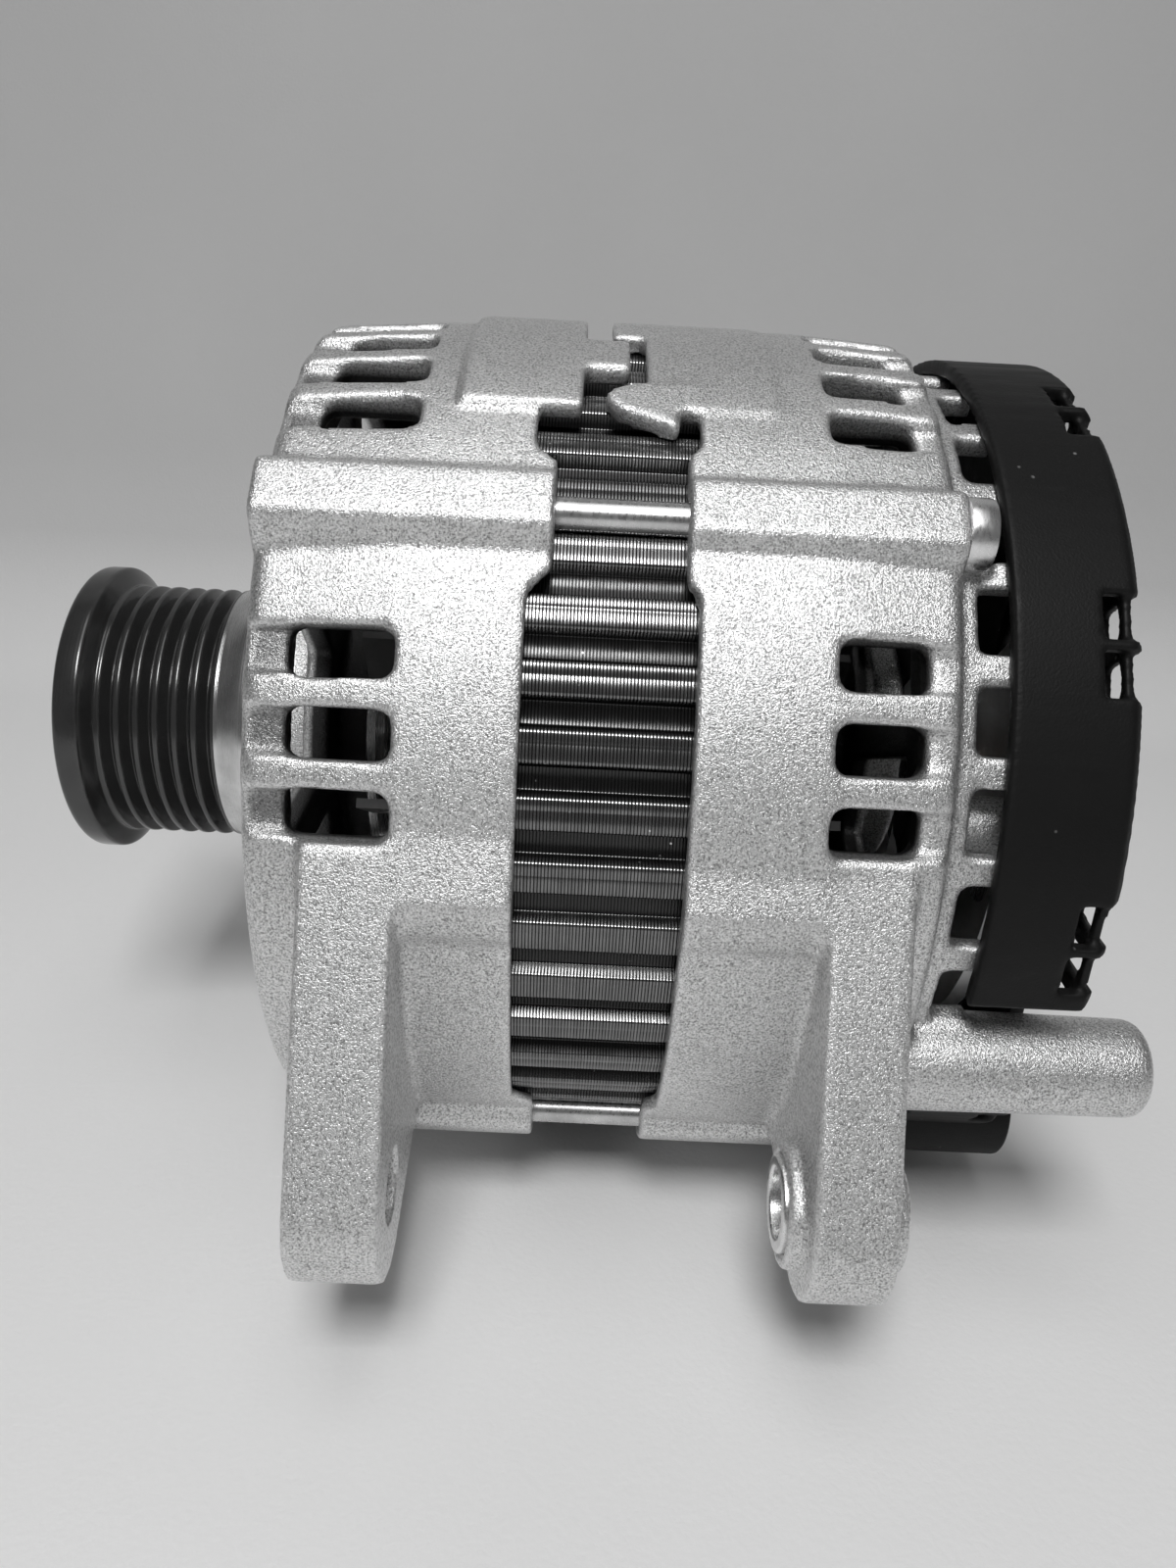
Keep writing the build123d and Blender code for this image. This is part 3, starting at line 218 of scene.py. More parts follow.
def turned_piece(name, corners, radius, sides, beside=((0.0, 0.0),), steps=4, flats=None,
                 sharp=None):
    """One object made of closed outlines turned about one or more lines beside the shaft."""
    outline = rounded(corners, radius, steps)
    if flats is not None:
        flats = np.repeat(np.asarray(flats, float), steps)
    rows = len(outline)
    solids = [turned_points(outline, sides, line, flats) for line in beside]
    faces = grid_faces(rows, sides, closed_rows=True)
    every = np.concatenate([faces + k * rows * sides for k in range(len(solids))])
    return tidy_mesh(put_mesh(name, np.stack(solids), every), sharp=sharp)


print("grid helpers ready")

# %% [markdown]
# ## The stage
# A sheet of pale paper lies under the machine and rises behind it. Seen from behind, the rising
# part would hide the machine, so its back is clear: Backfacing chooses a transparent shader there.
# Two flat planes would show a seam where they meet. One profile with a quarter round has none.

# %% Floor and backdrop
FLOOR_Z = packed_box[0][2]
SWEEP_RADIUS = 0.09
WALL_Y = 0.30
WALL_HEIGHT = 1.3
FLOOR_FRONT = -1.6
FLOOR_SIDES = (-1.7, 1.9)


def sweep_points():
    """Floor, quarter round and wall as one profile in Y and Z, drawn out along X."""
    bend = np.linspace(0, pi / 2, 16)
    y = np.concatenate([[FLOOR_FRONT], WALL_Y - SWEEP_RADIUS + SWEEP_RADIUS * np.sin(bend), [WALL_Y]])
    z = np.concatenate([[0.0], SWEEP_RADIUS * (1 - np.cos(bend)), [WALL_HEIGHT]]) + FLOOR_Z
    x = np.array(FLOOR_SIDES)
    return np.stack(np.broadcast_arrays(x[None, :], y[:, None], z[:, None]), axis=-1)


sweep = sweep_points()
rows = len(sweep)
first = np.arange(rows - 1)[:, None] * 2
backdrop = put_mesh("backdrop", sweep, first + np.array([[0, 1, 3, 2]]))
print("floor at", FLOOR_Z)

# %% [markdown]
# ## Light
# The key lamp stands above and in front, and a larger, weaker one fills from overhead. The world is
# dim, and a little dimmer overhead than at the sides. Metal shows what surrounds it, so a dim room
# is what gives the castings their shading: bright where they face the key lamp, darker above and
# below. A bright world would be simpler, but every side of the metal would then look alike.

# %% Lamps
def soft_lamp(name, place, target, size, power):
    """A square lamp that faces a target: its -Z axis points from the place to the target."""
    lamp = bpy.data.lights.new(name, "AREA")
    lamp.shape = "SQUARE"
    lamp.size = size
    lamp.energy = power
    holder = bpy.data.objects.new(name, lamp)
    bpy.context.collection.objects.link(holder)
    toward = np.array(place) - np.array(target)
    back = toward / np.linalg.norm(toward)
    side = np.cross([0.0, 1.0, 0.0], back)
    side /= np.linalg.norm(side)
    matrix = np.eye(4)
    matrix[:3, :3] = np.stack([side, np.cross(back, side), back], axis=1)
    matrix[:3, 3] = place
    holder.matrix_world = matrix.T.tolist()


LAMPS_FACE = (0.08, 0.0, 0.0)
soft_lamp("key lamp", (0.03, -0.54, 0.72), LAMPS_FACE, 0.26, 4.8)
soft_lamp("top lamp", (0.05, -0.22, 0.90), LAMPS_FACE, 0.5, 1.3)
print("lamps", len(bpy.data.lights))

# %% [markdown]
# ## Helpers for nodes
# A material is a tree of small steps. Wiring each by hand takes several lines, so four helpers put
# a node in, map a range, do arithmetic and write a grey. The world below is the first to use them.

# %% Node helpers and world
def shade(tree, kind, inputs=None, **settings):
    """Adds a node, sets its options, then gives each named input a value or links it to a socket."""
    made = tree.nodes.new(kind)
    for name, value in settings.items():
        setattr(made, name, value)
    for name, value in (inputs or {}).items():
        if isinstance(value, bpy.types.NodeSocket):
            tree.links.new(value, made.inputs[name])
        else:
            made.inputs[name].default_value = value
    return made


def ramp(tree, value, low, high, out_low=0.0, out_high=1.0):
    """Maps a value from one range to another, held at both ends."""
    inputs = {"Value": value, "From Min": low, "From Max": high,
              "To Min": out_low, "To Max": out_high}
    return shade(tree, "ShaderNodeMapRange", inputs).outputs["Result"]


def math(tree, operation, first, second=0.0):
    """One step of arithmetic on two values."""
    made = shade(tree, "ShaderNodeMath", {0: first, 1: second}, operation=operation)
    return made.outputs[0]


def grey(value):
    """An opaque grey."""
    return (value, value, value, 1.0)


world = bpy.data.worlds.new("Soft room")
bpy.context.scene.world = world
world.use_nodes = True
room = world.node_tree
direction = shade(room, "ShaderNodeTexCoord").outputs["Generated"]
height = shade(room, "ShaderNodeSeparateXYZ", {0: direction}).outputs["Z"]
SIDES_LIGHT = 0.12
OVERHEAD_LIGHT = 0.08
brightness = ramp(room, height, -0.2, 0.9, SIDES_LIGHT, OVERHEAD_LIGHT)
room.links.new(brightness, room.nodes["Background"].inputs["Color"])
bpy.context.scene.view_settings.view_transform = "Standard"
print("light ready")

# %% [markdown]
# ## Shared effects
# Four effects come back in several finishes, so each is a node group with named sockets: blasted
# grain, lathe marks, worn edges with painted shade in hollows, and settled dust. A group puts out
# only masks and heights, and each material keeps its own shader.

# %% Node groups
def new_group(name, inputs, outputs):
    """An empty shader group with these input defaults and output names."""
    tree = bpy.data.node_groups.new(name, "ShaderNodeTree")
    for label, value in inputs.items():
        kind = "NodeSocketVector" if value is None else "NodeSocketFloat"
        socket = tree.interface.new_socket(label, in_out="INPUT", socket_type=kind)
        if value is not None:
            socket.default_value = value
    for label in outputs:
        tree.interface.new_socket(label, in_out="OUTPUT", socket_type="NodeSocketFloat")
    return tree, tree.nodes.new("NodeGroupInput").outputs, tree.nodes.new("NodeGroupOutput").inputs


def fill(tree, sockets, **values):
    """Links the results of a group to its named outputs."""
    for label, value in values.items():
        tree.links.new(value, sockets[label.replace("_", " ")])


def noise(tree, vector, scale, detail=2.0, roughness=0.5):
    """Soft noise between 0 and 1, with so many lumps to the metre."""
    inputs = {"Vector": vector, "Scale": scale, "Detail": detail, "Roughness": roughness}
    return shade(tree, "ShaderNodeTexNoise", inputs).outputs["Fac"]


def blasted_grain():
    """Rounded pits of blasted metal: noise at the grain's size, with half as much twice as fine."""
    tree, given, result = new_group("Blasted grain", {"Vector": None, "Grains per metre": 2700.0},
                                    ["Height", "Shade"])
    coarse = noise(tree, given["Vector"], given["Grains per metre"], 2.5, 0.65)
    finer = math(tree, "MULTIPLY", given["Grains per metre"], 2.1)
    fine = noise(tree, given["Vector"], finer, 1.0)
    height = math(tree, "ADD", coarse, math(tree, "MULTIPLY", fine, 0.5))
    fill(tree, result, Height=height, Shade=ramp(tree, height, 0.55, 0.95))
    return tree


def lathe_marks():
    """Fine rings left by a cutting tool: noise that depends only on x and on the distance out."""
    tree, given, result = new_group("Lathe marks", {"Vector": None, "Rings per metre": 4000.0},
                                    ["Height"])
    parts = shade(tree, "ShaderNodeSeparateXYZ", {0: given["Vector"]}).outputs
    across = shade(tree, "ShaderNodeCombineXYZ", {"Y": parts["Y"], "Z": parts["Z"]}).outputs[0]
    distance = shade(tree, "ShaderNodeVectorMath", {0: across}, operation="LENGTH").outputs["Value"]
    place = shade(tree, "ShaderNodeCombineXYZ", {"X": parts["X"], "Y": distance}).outputs[0]
    fill(tree, result, Height=noise(tree, place, given["Rings per metre"], 3.0, 0.7))
    return tree


def worn_edges_and_hollow_shade():
    """Pointiness masks: worn corners that stand out, and hollows that carry painted shade."""
    tree, given, result = new_group("Worn edges and hollow shade", {"Vector": None, "Reach": 0.05}, ["Crest", "Hollow"])
    point = shade(tree, "ShaderNodeNewGeometry").outputs["Pointiness"]
    ragged = math(tree, "MULTIPLY", noise(tree, given["Vector"], 700.0, 3.0), 0.02)
    high = math(tree, "ADD", given["Reach"], 0.49)
    low = math(tree, "SUBTRACT", 0.49, given["Reach"])
    ragged_point = math(tree, "ADD", point, math(tree, "SUBTRACT", ragged, 0.01))
    fill(tree, result, Crest=ramp(tree, ragged_point, 0.505, high),
         Hollow=ramp(tree, ragged_point, 0.485, low))
    return tree


def settled_dust():
    """Scattered specks: places close to a cell's centre, in the patches that noise chooses."""
    tree, given, result = new_group("Settled dust", {"Vector": None, "Specks per metre": 260.0},
                                    ["Specks"])
    cells = shade(tree, "ShaderNodeTexVoronoi",
                  {"Vector": given["Vector"], "Scale": given["Specks per metre"]})
    spot = ramp(tree, cells.outputs["Distance"], 0.10, 0.05)
    chosen = ramp(tree, noise(tree, given["Vector"], 140.0, 1.0), 0.58, 0.64)
    fill(tree, result, Specks=math(tree, "MULTIPLY", spot, chosen))
    return tree


GROUPS = {tree.name: tree
          for tree in (blasted_grain(), lathe_marks(), worn_edges_and_hollow_shade(), settled_dust())}
print("groups", sorted(GROUPS))

# %% [markdown]
# ## Finishes
# Each finish starts from the same few steps: object coordinates, a principled shader and a bump
# node. Its own function then says what varies over the surface and at which scale.

# %% Finish helpers
def start_finish(name, metallic, roughness, **fixed):
    """A material with its shader, its tree and the piece's own coordinates."""
    material = bpy.data.materials.new(name)
    material.use_nodes = True
    tree = material.node_tree
    shader = tree.nodes["Principled BSDF"]
    shader.inputs["Metallic"].default_value = metallic
    shader.inputs["Roughness"].default_value = roughness
    for label, value in fixed.items():
        shader.inputs[label.replace("_", " ")].default_value = value
    return material, tree, shader, shade(tree, "ShaderNodeTexCoord").outputs["Object"]


def use(tree, name, vector, **values):
    """The outputs of a shared group placed in this tree."""
    placed = shade(tree, "ShaderNodeGroup", node_tree=GROUPS[name])
    tree.links.new(vector, placed.inputs["Vector"])
    for label, value in values.items():
        placed.inputs[label.replace("_", " ")].default_value = value
    return placed.outputs


def mix(tree, factor, first, second):
    """A colour between two colours."""
    inputs = {"Factor": factor, 6: first, 7: second}
    return shade(tree, "ShaderNodeMix", inputs, data_type="RGBA").outputs[2]


def finish(tree, shader, colour, roughness=None, height=None, depth=0.0001):
    """Links what varies: colour, roughness, and a bump of this depth in metres."""
    tree.links.new(colour, shader.inputs["Base Color"])
    if roughness is not None:
        tree.links.new(roughness, shader.inputs["Roughness"])
    if height is not None:
        inputs = {"Height": height, "Distance": depth, "Strength": 1.0}
        bump = shade(tree, "ShaderNodeBump", inputs)
        tree.links.new(bump.outputs["Normal"], shader.inputs["Normal"])


print("finish helpers ready")

# %% [markdown]
# ## The paper
# The sheet is matt paper with a faint mottle. Its floor is painted paler than its wall, and the
# wall is painted darker as it rises: painted shade, for the light the paper loses where it leans
# away from the lamp. A photograph of paper could be wrapped on it, but three greys mixed by height
# say the same and stay sharp at any size.

# %% Paper
WALL_FOOT = FLOOR_Z + 0.05
WALL_FULL_SHADE = FLOOR_Z + 0.5


def backdrop_paper():
    """Pale mottled paper, with painted shade on its wall, more as it rises; clear seen from its back.
    """
    material, tree, shader, place = start_finish("backdrop paper", 0.0, 0.75)
    height = shade(tree, "ShaderNodeSeparateXYZ", {0: place}).outputs["Z"]
    risen = ramp(tree, height, FLOOR_Z, WALL_FOOT)
    mottle = noise(tree, place, 9.0, 4.0)
    # Painted shade: the wall's greys are darker than the floor's, and darker still towards the top.
    floor = mix(tree, mottle, grey(0.84), grey(0.89))
    low = mix(tree, mottle, grey(0.56), grey(0.62))
    high = mix(tree, mottle, grey(0.38), grey(0.44))
    wall = mix(tree, ramp(tree, height, WALL_FOOT, WALL_FULL_SHADE), low, high)
    finish(tree, shader, mix(tree, risen, floor, wall), None, noise(tree, place, 900.0), 0.0001)
    behind = shade(tree, "ShaderNodeNewGeometry").outputs["Backfacing"]
    clear = shade(tree, "ShaderNodeBsdfTransparent").outputs[0]
    seen = shade(tree, "ShaderNodeMixShader", {0: behind, 1: shader.outputs[0], 2: clear}).outputs[0]
    tree.links.new(seen, tree.nodes["Material Output"].inputs["Surface"])
    return material


backdrop.data.materials.append(backdrop_paper())
print("finish", backdrop.data.materials[0].name)

# %% [markdown]
# ## Blasted castings
# The two housings are cast and then blasted, so their outside is pale and grainy. Their inside is
# painted nearly black as shade, for the little light that gets in. Two materials could be given by
# face, but their border would show as steps. A mask from the distance to the shaft fades from one
# to the other instead.

# %% Cast aluminium
INSIDE_FROM, INSIDE_FULL = 0.0740, 0.0725
FRONT_FROM, FRONT_FULL = 0.0308, 0.0318
BACK_FROM, BACK_FULL = 0.1312, 0.1302
GRAIN_DEPTH = 0.16 * MM


def inside_shade_mask(tree, place):
    """One inside the housings, where painted shade darkens them, and nought outside: near the shaft,
    between the end walls.
    """
    parts = shade(tree, "ShaderNodeSeparateXYZ", {0: place}).outputs
    across = shade(tree, "ShaderNodeCombineXYZ", {"Y": parts["Y"], "Z": parts["Z"]}).outputs[0]
    distance = shade(tree, "ShaderNodeVectorMath", {0: across}, operation="LENGTH").outputs["Value"]
    near = ramp(tree, distance, INSIDE_FROM, INSIDE_FULL)
    behind_front = ramp(tree, parts["X"], FRONT_FROM, FRONT_FULL)
    before_back = ramp(tree, parts["X"], BACK_FROM, BACK_FULL)
    return math(tree, "MULTIPLY", near, math(tree, "MULTIPLY", behind_front, before_back))


def blasted_aluminium():
    """Pale grey and grainy, a little brighter on worn corners, with painted shade in its hollows."""
    material, tree, shader, place = start_finish("blasted aluminium", 0.95, 0.4)
    grain = use(tree, "Blasted grain", place)
    edges = use(tree, "Worn edges and hollow shade", place)
    broad = ramp(tree, noise(tree, place, 45.0, 3.0), 0.3, 0.7)
    body = mix(tree, broad, grey(0.64), grey(0.74))
    pitted = mix(tree, ramp(tree, grain["Shade"], 0.42, 0.12, 0.0, 0.75), body, grey(0.15))
    grainy = mix(tree, ramp(tree, grain["Shade"], 0.55, 0.80, 0.0, 0.8), pitted, grey(1.0))
    # Painted shade: hollows are darkened towards a dull grey, where light reaches them less.
    hollow = mix(tree, math(tree, "MULTIPLY", edges["Hollow"], 0.5), grainy, grey(0.30))
    bright = mix(tree, math(tree, "MULTIPLY", edges["Crest"], 0.35), hollow, grey(0.88))
    # Painted shade: inside the housings the colour fades to nearly black.
    colour = mix(tree, inside_shade_mask(tree, place), bright, grey(0.06))
    rough = ramp(tree, grain["Shade"], 0.0, 1.0, 0.44, 0.32)
    finish(tree, shader, colour, rough, grain["Height"], GRAIN_DEPTH)
    return material


CAST = blasted_aluminium()
print("finish", CAST.name)

# %% [markdown]
# ## The other metals
# Turned and plated steel keeps fine rings from the lathe, and plated parts are smoother. The rings
# could be cut in the mesh, but they are finer than any face. One function covers all the metals:
# only tone, gloss and the depth of the rings differ.

# %% Turned metals
def turned_metal(name, tone, roughness, rings=3500.0, depth=0.00002, spread=0.25,
                 tint=(1, 1, 1), metallic=1.0):
    """Metal with lathe rings, whose tone drifts a little over the surface."""
    material, tree, shader, place = start_finish(name, metallic, roughness)
    marks = use(tree, "Lathe marks", place, Rings_per_metre=rings)["Height"]
    edges = use(tree, "Worn edges and hollow shade", place)
    drift = ramp(tree, noise(tree, place, 120.0, 3.0), 0.3, 0.7)
    light = tuple(min(1.0, tone * (1 + spread) * c) for c in tint) + (1.0,)
    dark = tuple(tone * (1 - spread) * c for c in tint) + (1.0,)
    body = mix(tree, drift, dark, light)
    edge_tone = tuple(min(1.0, tone * 1.6 * c) for c in tint) + (1.0,)
    colour = mix(tree, math(tree, "MULTIPLY", edges["Crest"], 0.5), body, edge_tone)
    rough = ramp(tree, marks, 0.3, 0.7, roughness * 0.75, roughness * 1.25)
    finish(tree, shader, colour, rough, marks, depth)
    return material


BLACKENED = turned_metal("blackened steel", 0.07, 0.20, spread=0.15, metallic=0.7, depth=0.000008)
BRIGHT = turned_metal("bright turned steel", 0.62, 0.26, depth=0.00003)
PLATED = turned_metal("zinc plated steel", 0.58, 0.30, rings=1500.0, depth=0.00001)
BEARING = turned_metal("bearing steel", 0.50, 0.15, rings=6000.0, depth=0.000005)
# Painted shade: the fans' steel is made nearly black for the dim light inside the housings.
FAN_SHADE_DARKENED = turned_metal("pressed fan steel darkened as shade", 0.08, 0.42, rings=500.0, depth=0.00001)
POLE = turned_metal("forged pole steel", 0.22, 0.45, rings=900.0, depth=0.00006)
SLIP_COPPER = turned_metal("slip ring copper", 0.60, 0.28, tint=(1.0, 0.62, 0.42))
PLATE_METAL = turned_metal("rolled aluminium plate", 0.66, 0.38, rings=800.0, depth=0.00001)
print("finishes", len(bpy.data.materials))

# %% [markdown]
# ## Varnished sheets, enamelled wire, plastic and the rest
# The stack's sheets are dark with varnish and each takes the light a little differently, so their
# tone is a noise that changes only along the shaft. A plain noise would give blots instead. The
# cover's plastic has the fine texture of its mould and a little dust.

# %% Varnish, plastic and the rest
def stretched(tree, place, scale):
    """Coordinates scaled apart along the three axes, so noise becomes sheets or streaks."""
    return shade(tree, "ShaderNodeMapping", {"Vector": place, "Scale": scale}).outputs[0]


def varnished_sheets():
    """Dark sheets: black joints every half millimetre, painted shade in grooves, mottled varnish,
    specks.
    """
    material, tree, shader, place = start_finish("varnished sheets", 0.9, 0.22)
    parts = shade(tree, "ShaderNodeSeparateXYZ", {0: place}).outputs
    across = shade(tree, "ShaderNodeCombineXYZ", {"Y": parts["Y"], "Z": parts["Z"]}).outputs[0]
    distance = shade(tree, "ShaderNodeVectorMath", {0: across}, operation="LENGTH").outputs["Value"]
    joint = ramp(tree, math(tree, "PINGPONG", parts["X"], 0.00025), 0.00004, 0.00013)
    sheet = noise(tree, stretched(tree, place, (2000.0, 30.0, 30.0)), 1.0, 1.0)
    mottle = noise(tree, place, 350.0, 3.0)
    specks = use(tree, "Settled dust", place, Specks_per_metre=500.0)["Specks"]
    tone = mix(tree, ramp(tree, sheet, 0.35, 0.65), grey(0.19), grey(0.25))
    crest = mix(tree, ramp(tree, mottle, 0.35, 0.75, 0.0, 0.3), tone, grey(0.12))
    # Painted shade: the grooves go dark towards their floor, where the teeth keep the light out.
    groove = mix(tree, ramp(tree, distance, 0.0728, 0.0742), grey(0.05), crest)
    lined = mix(tree, joint, grey(0.015), groove)
    colour = mix(tree, specks, lined, grey(0.75))
    rough = ramp(tree, mottle, 0.3, 0.7, 0.18, 0.28)
    finish(tree, shader, colour, rough, joint, 0.00003)
    return material


def moulded_plastic(name, tone, roughness, grain=2600.0, dusty=0.5):
    """Black plastic with its mould's fine texture, faint rubs and specks of dust."""
    material, tree, shader, place = start_finish(name, 0.0, roughness, Specular_IOR_Level=0.2)
    texture = noise(tree, place, grain, 2.0)
    rubs = noise(tree, stretched(tree, place, (40.0, 260.0, 90.0)), 1.0, 4.0, 0.7)
    specks = use(tree, "Settled dust", place)["Specks"]
    rubbed = mix(tree, ramp(tree, rubs, 0.62, 0.8, 0.0, 0.35), grey(tone), grey(tone * 2.6 + 0.01))
    colour = mix(tree, math(tree, "MULTIPLY", specks, dusty), rubbed, grey(0.35))
    rough = ramp(tree, rubs, 0.3, 0.8, roughness * 1.1, roughness * 0.75)
    finish(tree, shader, colour, rough, texture, 0.00005)
    return material


def enamelled_wire():
    """Round wire under brown enamel that varies along the winding."""
    material, tree, shader, place = start_finish("enamelled wire", 0.4, 0.30, Coat_Weight=0.4)
    drift = noise(tree, place, 160.0, 3.0)
    colour = mix(tree, drift, (0.16, 0.085, 0.05, 1.0), (0.33, 0.19, 0.12, 1.0))
    finish(tree, shader, colour, ramp(tree, drift, 0.3, 0.7, 0.24, 0.42), drift, 0.00005)
    return material


SHEETS = varnished_sheets()
BLACK = moulded_plastic("matte black plastic", 0.006, 0.55)
RUBBER = moulded_plastic("seal rubber", 0.02, 0.62, grain=1500.0, dusty=0.2)
CARBON = moulded_plastic("brush carbon", 0.05, 0.5, grain=4000.0, dusty=0.0)
WIRE = enamelled_wire()
print("finishes", len(bpy.data.materials))

# %% [markdown]
# ## Every node gets its finish
# The record sorts the nodes by material slot. One table turns each slot into a finish, so a node
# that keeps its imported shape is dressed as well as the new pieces.

# %% Finishes by slot
SLOT_FINISH = {
    "cast_aluminium": CAST, "laminated_steel": SHEETS, "copper_winding": WIRE,
    "black_plastic": BLACK, "pulley_steel": BLACKENED, "machined_steel": BRIGHT,
    "bearing_steel": BEARING, "zinc_steel": PLATED, "seal_rubber": RUBBER, "pole_steel": POLE,
    "carbon": CARBON, "slip_copper": SLIP_COPPER, "plate_aluminium": PLATE_METAL,
}


def dress_nodes():
    """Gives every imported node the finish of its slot, and remembers the slot."""
    slots = {}
    for entry in frame["record"]["subparts"]:
        packed = frame["nodes"][entry["node"]].data
        packed.materials.clear()
        packed.materials.append(SLOT_FINISH[entry["material_slot"]])
        slots[entry["node"]] = entry["material_slot"]
    return slots


SLOTS = dress_nodes()
# Painted shade: the fans take the near-black steel instead of their slot's finish.
for fan in ("front_fan", "rear_fan"):
    frame["nodes"][fan].data.materials[0] = FAN_SHADE_DARKENED


def stands_for(piece, body, node):
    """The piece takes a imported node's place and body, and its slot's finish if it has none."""
    if not piece.data.materials:
        piece.data.materials.append(SLOT_FINISH[SLOTS[node]])
    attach(piece, body)
    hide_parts(node)
    print(piece.name, "faces", len(piece.data.polygons))


# %% [markdown]
# ## Carving
# A few cuts in the castings and the cover are easiest to see as blocks taken away or added: the
# open windows of the rear drum, the fingers that meet over the sheet stack, and the hollow that
# the cover leaves for the long boss. Each block is a piece of a ring round the shaft. A boolean
# before the remeshing joins or cuts it, and the remeshing then softens its edges like the rest.

# %% Carving blocks
DRUM_INNER = 68.2 * MM
DRUM_OUTER = 71.8 * MM
DRUM_FOOT = 131.0 * MM
DRUM_RIM = 135.5 * MM
DRUM_END = 143.0 * MM
DRUM_WINDOWS = 30
WINDOW_HALF = 4.1
PAD_INNER = 74.0 * MM
PAD_OUTER = 77.9 * MM
PAD_EDGE = 76.2 * MM
FAR_PAD_EDGE = 87.0 * MM
FRONT_FINGER = (68.3, 77.2)
FAR_FINGER = (79.2, 92.2)
FAR_FINGER_TIP = 80.6 * MM
BOSS_CENTRE = (73.0 * MM, -23.3)
BOSS_HOLLOW = 15.2 * MM
HOLLOW_FRONT = 138.5 * MM
HOLLOW_BACK = 159.5 * MM
FINGERS_END = 84.0 * MM
FINGERS_FOOT = 74.8 * MM
PAD_SIDES = (64.0, 116.0)
BLOCK_EDGE = 0.2 * MM
PAST = 1.0 * MM


def arc_block(front, back, inner, outer, low, high, steps=12):
    """A block of a ring: at each angle from low to high, the corners (x, r) of one oblong section."""
    degrees = np.linspace(low, high, steps)
    section = ((front, inner), (back, inner), (back, outer), (front, outer))
    rows = [outward(degrees) * r + np.array([x, 0.0, 0.0]) for x, r in section]
    ends = [[0, 1, 2, 3], [4 * steps - 1, 4 * steps - 2, 4 * steps - 3, 4 * steps - 4]]
    faces = np.concatenate([grid_faces(steps, 4), ends])
    return tidy_mesh(put_mesh("block", np.stack(rows, axis=1), faces))


def carve(piece, block, operation):
    """Joins a block to a piece, or cuts it away, and throws the block away."""
    step = piece.modifiers.new("Carve", "BOOLEAN")
    step.operation = operation
    step.object = block
    step.solver = "EXACT"
    bake_modifiers(piece)
    bpy.data.objects.remove(block)


def carve_front(piece):
    """The front pad keeps one finger."""
    for low, high in ((FRONT_FINGER[1], PAD_SIDES[1]), (PAD_SIDES[0], FRONT_FINGER[0])):
        beside = arc_block(PAD_EDGE, FINGERS_END, PAD_INNER, PAD_OUTER + PAST, low, high)
        carve(piece, beside, "DIFFERENCE")


def carve_rear(piece):
    """A wider rim on the drum, its windows open to the back, and the far finger of the pad."""
    rim = [(DRUM_FOOT, DRUM_INNER), (DRUM_RIM, DRUM_INNER),
           (DRUM_RIM, DRUM_OUTER), (DRUM_FOOT, DRUM_OUTER)]
    carve(piece, turned_piece("drum rim", rim, BLOCK_EDGE, 120), "UNION")
    far = arc_block(FAR_FINGER_TIP, FAR_PAD_EDGE, FINGERS_FOOT, PAD_OUTER, *FAR_FINGER)
    carve(piece, far, "UNION")
    for angle in np.arange(DRUM_WINDOWS) * 360 / DRUM_WINDOWS:
        window = arc_block(DRUM_RIM, DRUM_END, DRUM_INNER - PAST, DRUM_OUTER + PAST,
                           angle - WINDOW_HALF, angle + WINDOW_HALF, 6)
        carve(piece, window, "DIFFERENCE")


def carve_cover(piece):
    """The cover stands clear of the long boss."""
    hollow = [(HOLLOW_FRONT, 0.0), (HOLLOW_BACK, 0.0),
              (HOLLOW_BACK, BOSS_HOLLOW), (HOLLOW_FRONT, BOSS_HOLLOW)]
    carve(piece, turned_piece("hollow", hollow, BLOCK_EDGE, 64, (BOSS_CENTRE,)), "DIFFERENCE")


print("carving: a finger, a rim,", DRUM_WINDOWS, "windows and a hollow")

# %% [markdown]
# ## Castings with soft edges
# A casting has no sharp edge: the sand or the die rounds it, and blasting rounds it more. Bevels
# on so many crossing slots would collide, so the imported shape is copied, given an even skin of
# small faces, and that skin is relaxed a few times, which rounds every edge and fillets every
# corner alike. Flat and round walls stay where they are.

# %% Cast skins
SEAM = 1e-6


def even_skin(name, node, voxel, passes, budget, carving):
    """A merged copy of a node, carved, remeshed into even cells, relaxed and thinned.

    The thinning keeps the share of faces that brings the triangles down to the budget.
    """
    piece = bpy.data.objects.new(name, frame["nodes"][node].data.copy())
    bpy.context.collection.objects.link(piece)
    made = bmesh.new()
    made.from_mesh(piece.data)
    bmesh.ops.remove_doubles(made, verts=made.verts, dist=SEAM)
    made.to_mesh(piece.data)
    made.free()
    carving(piece)
    skin = piece.modifiers.new("Even skin", "REMESH")
    skin.mode = "VOXEL"
    skin.voxel_size = voxel
    relax = piece.modifiers.new("Cast radii", "SMOOTH")
    relax.factor = 0.5
    relax.iterations = passes
    bake_modifiers(piece)
    thin = piece.modifiers.new("Budget", "DECIMATE")
    thin.ratio = min(1.0, budget / (2 * len(piece.data.polygons)))
    bake_modifiers(piece)
    piece.data.shade_smooth()
    piece.data.materials.clear()
    return piece


def bake_modifiers(piece):
    """Applies the modifiers of a piece to its mesh."""
    graph = bpy.context.evaluated_depsgraph_get()
    result = bpy.data.meshes.new_from_object(piece.evaluated_get(graph))
    piece.modifiers.clear()
    piece.data = result


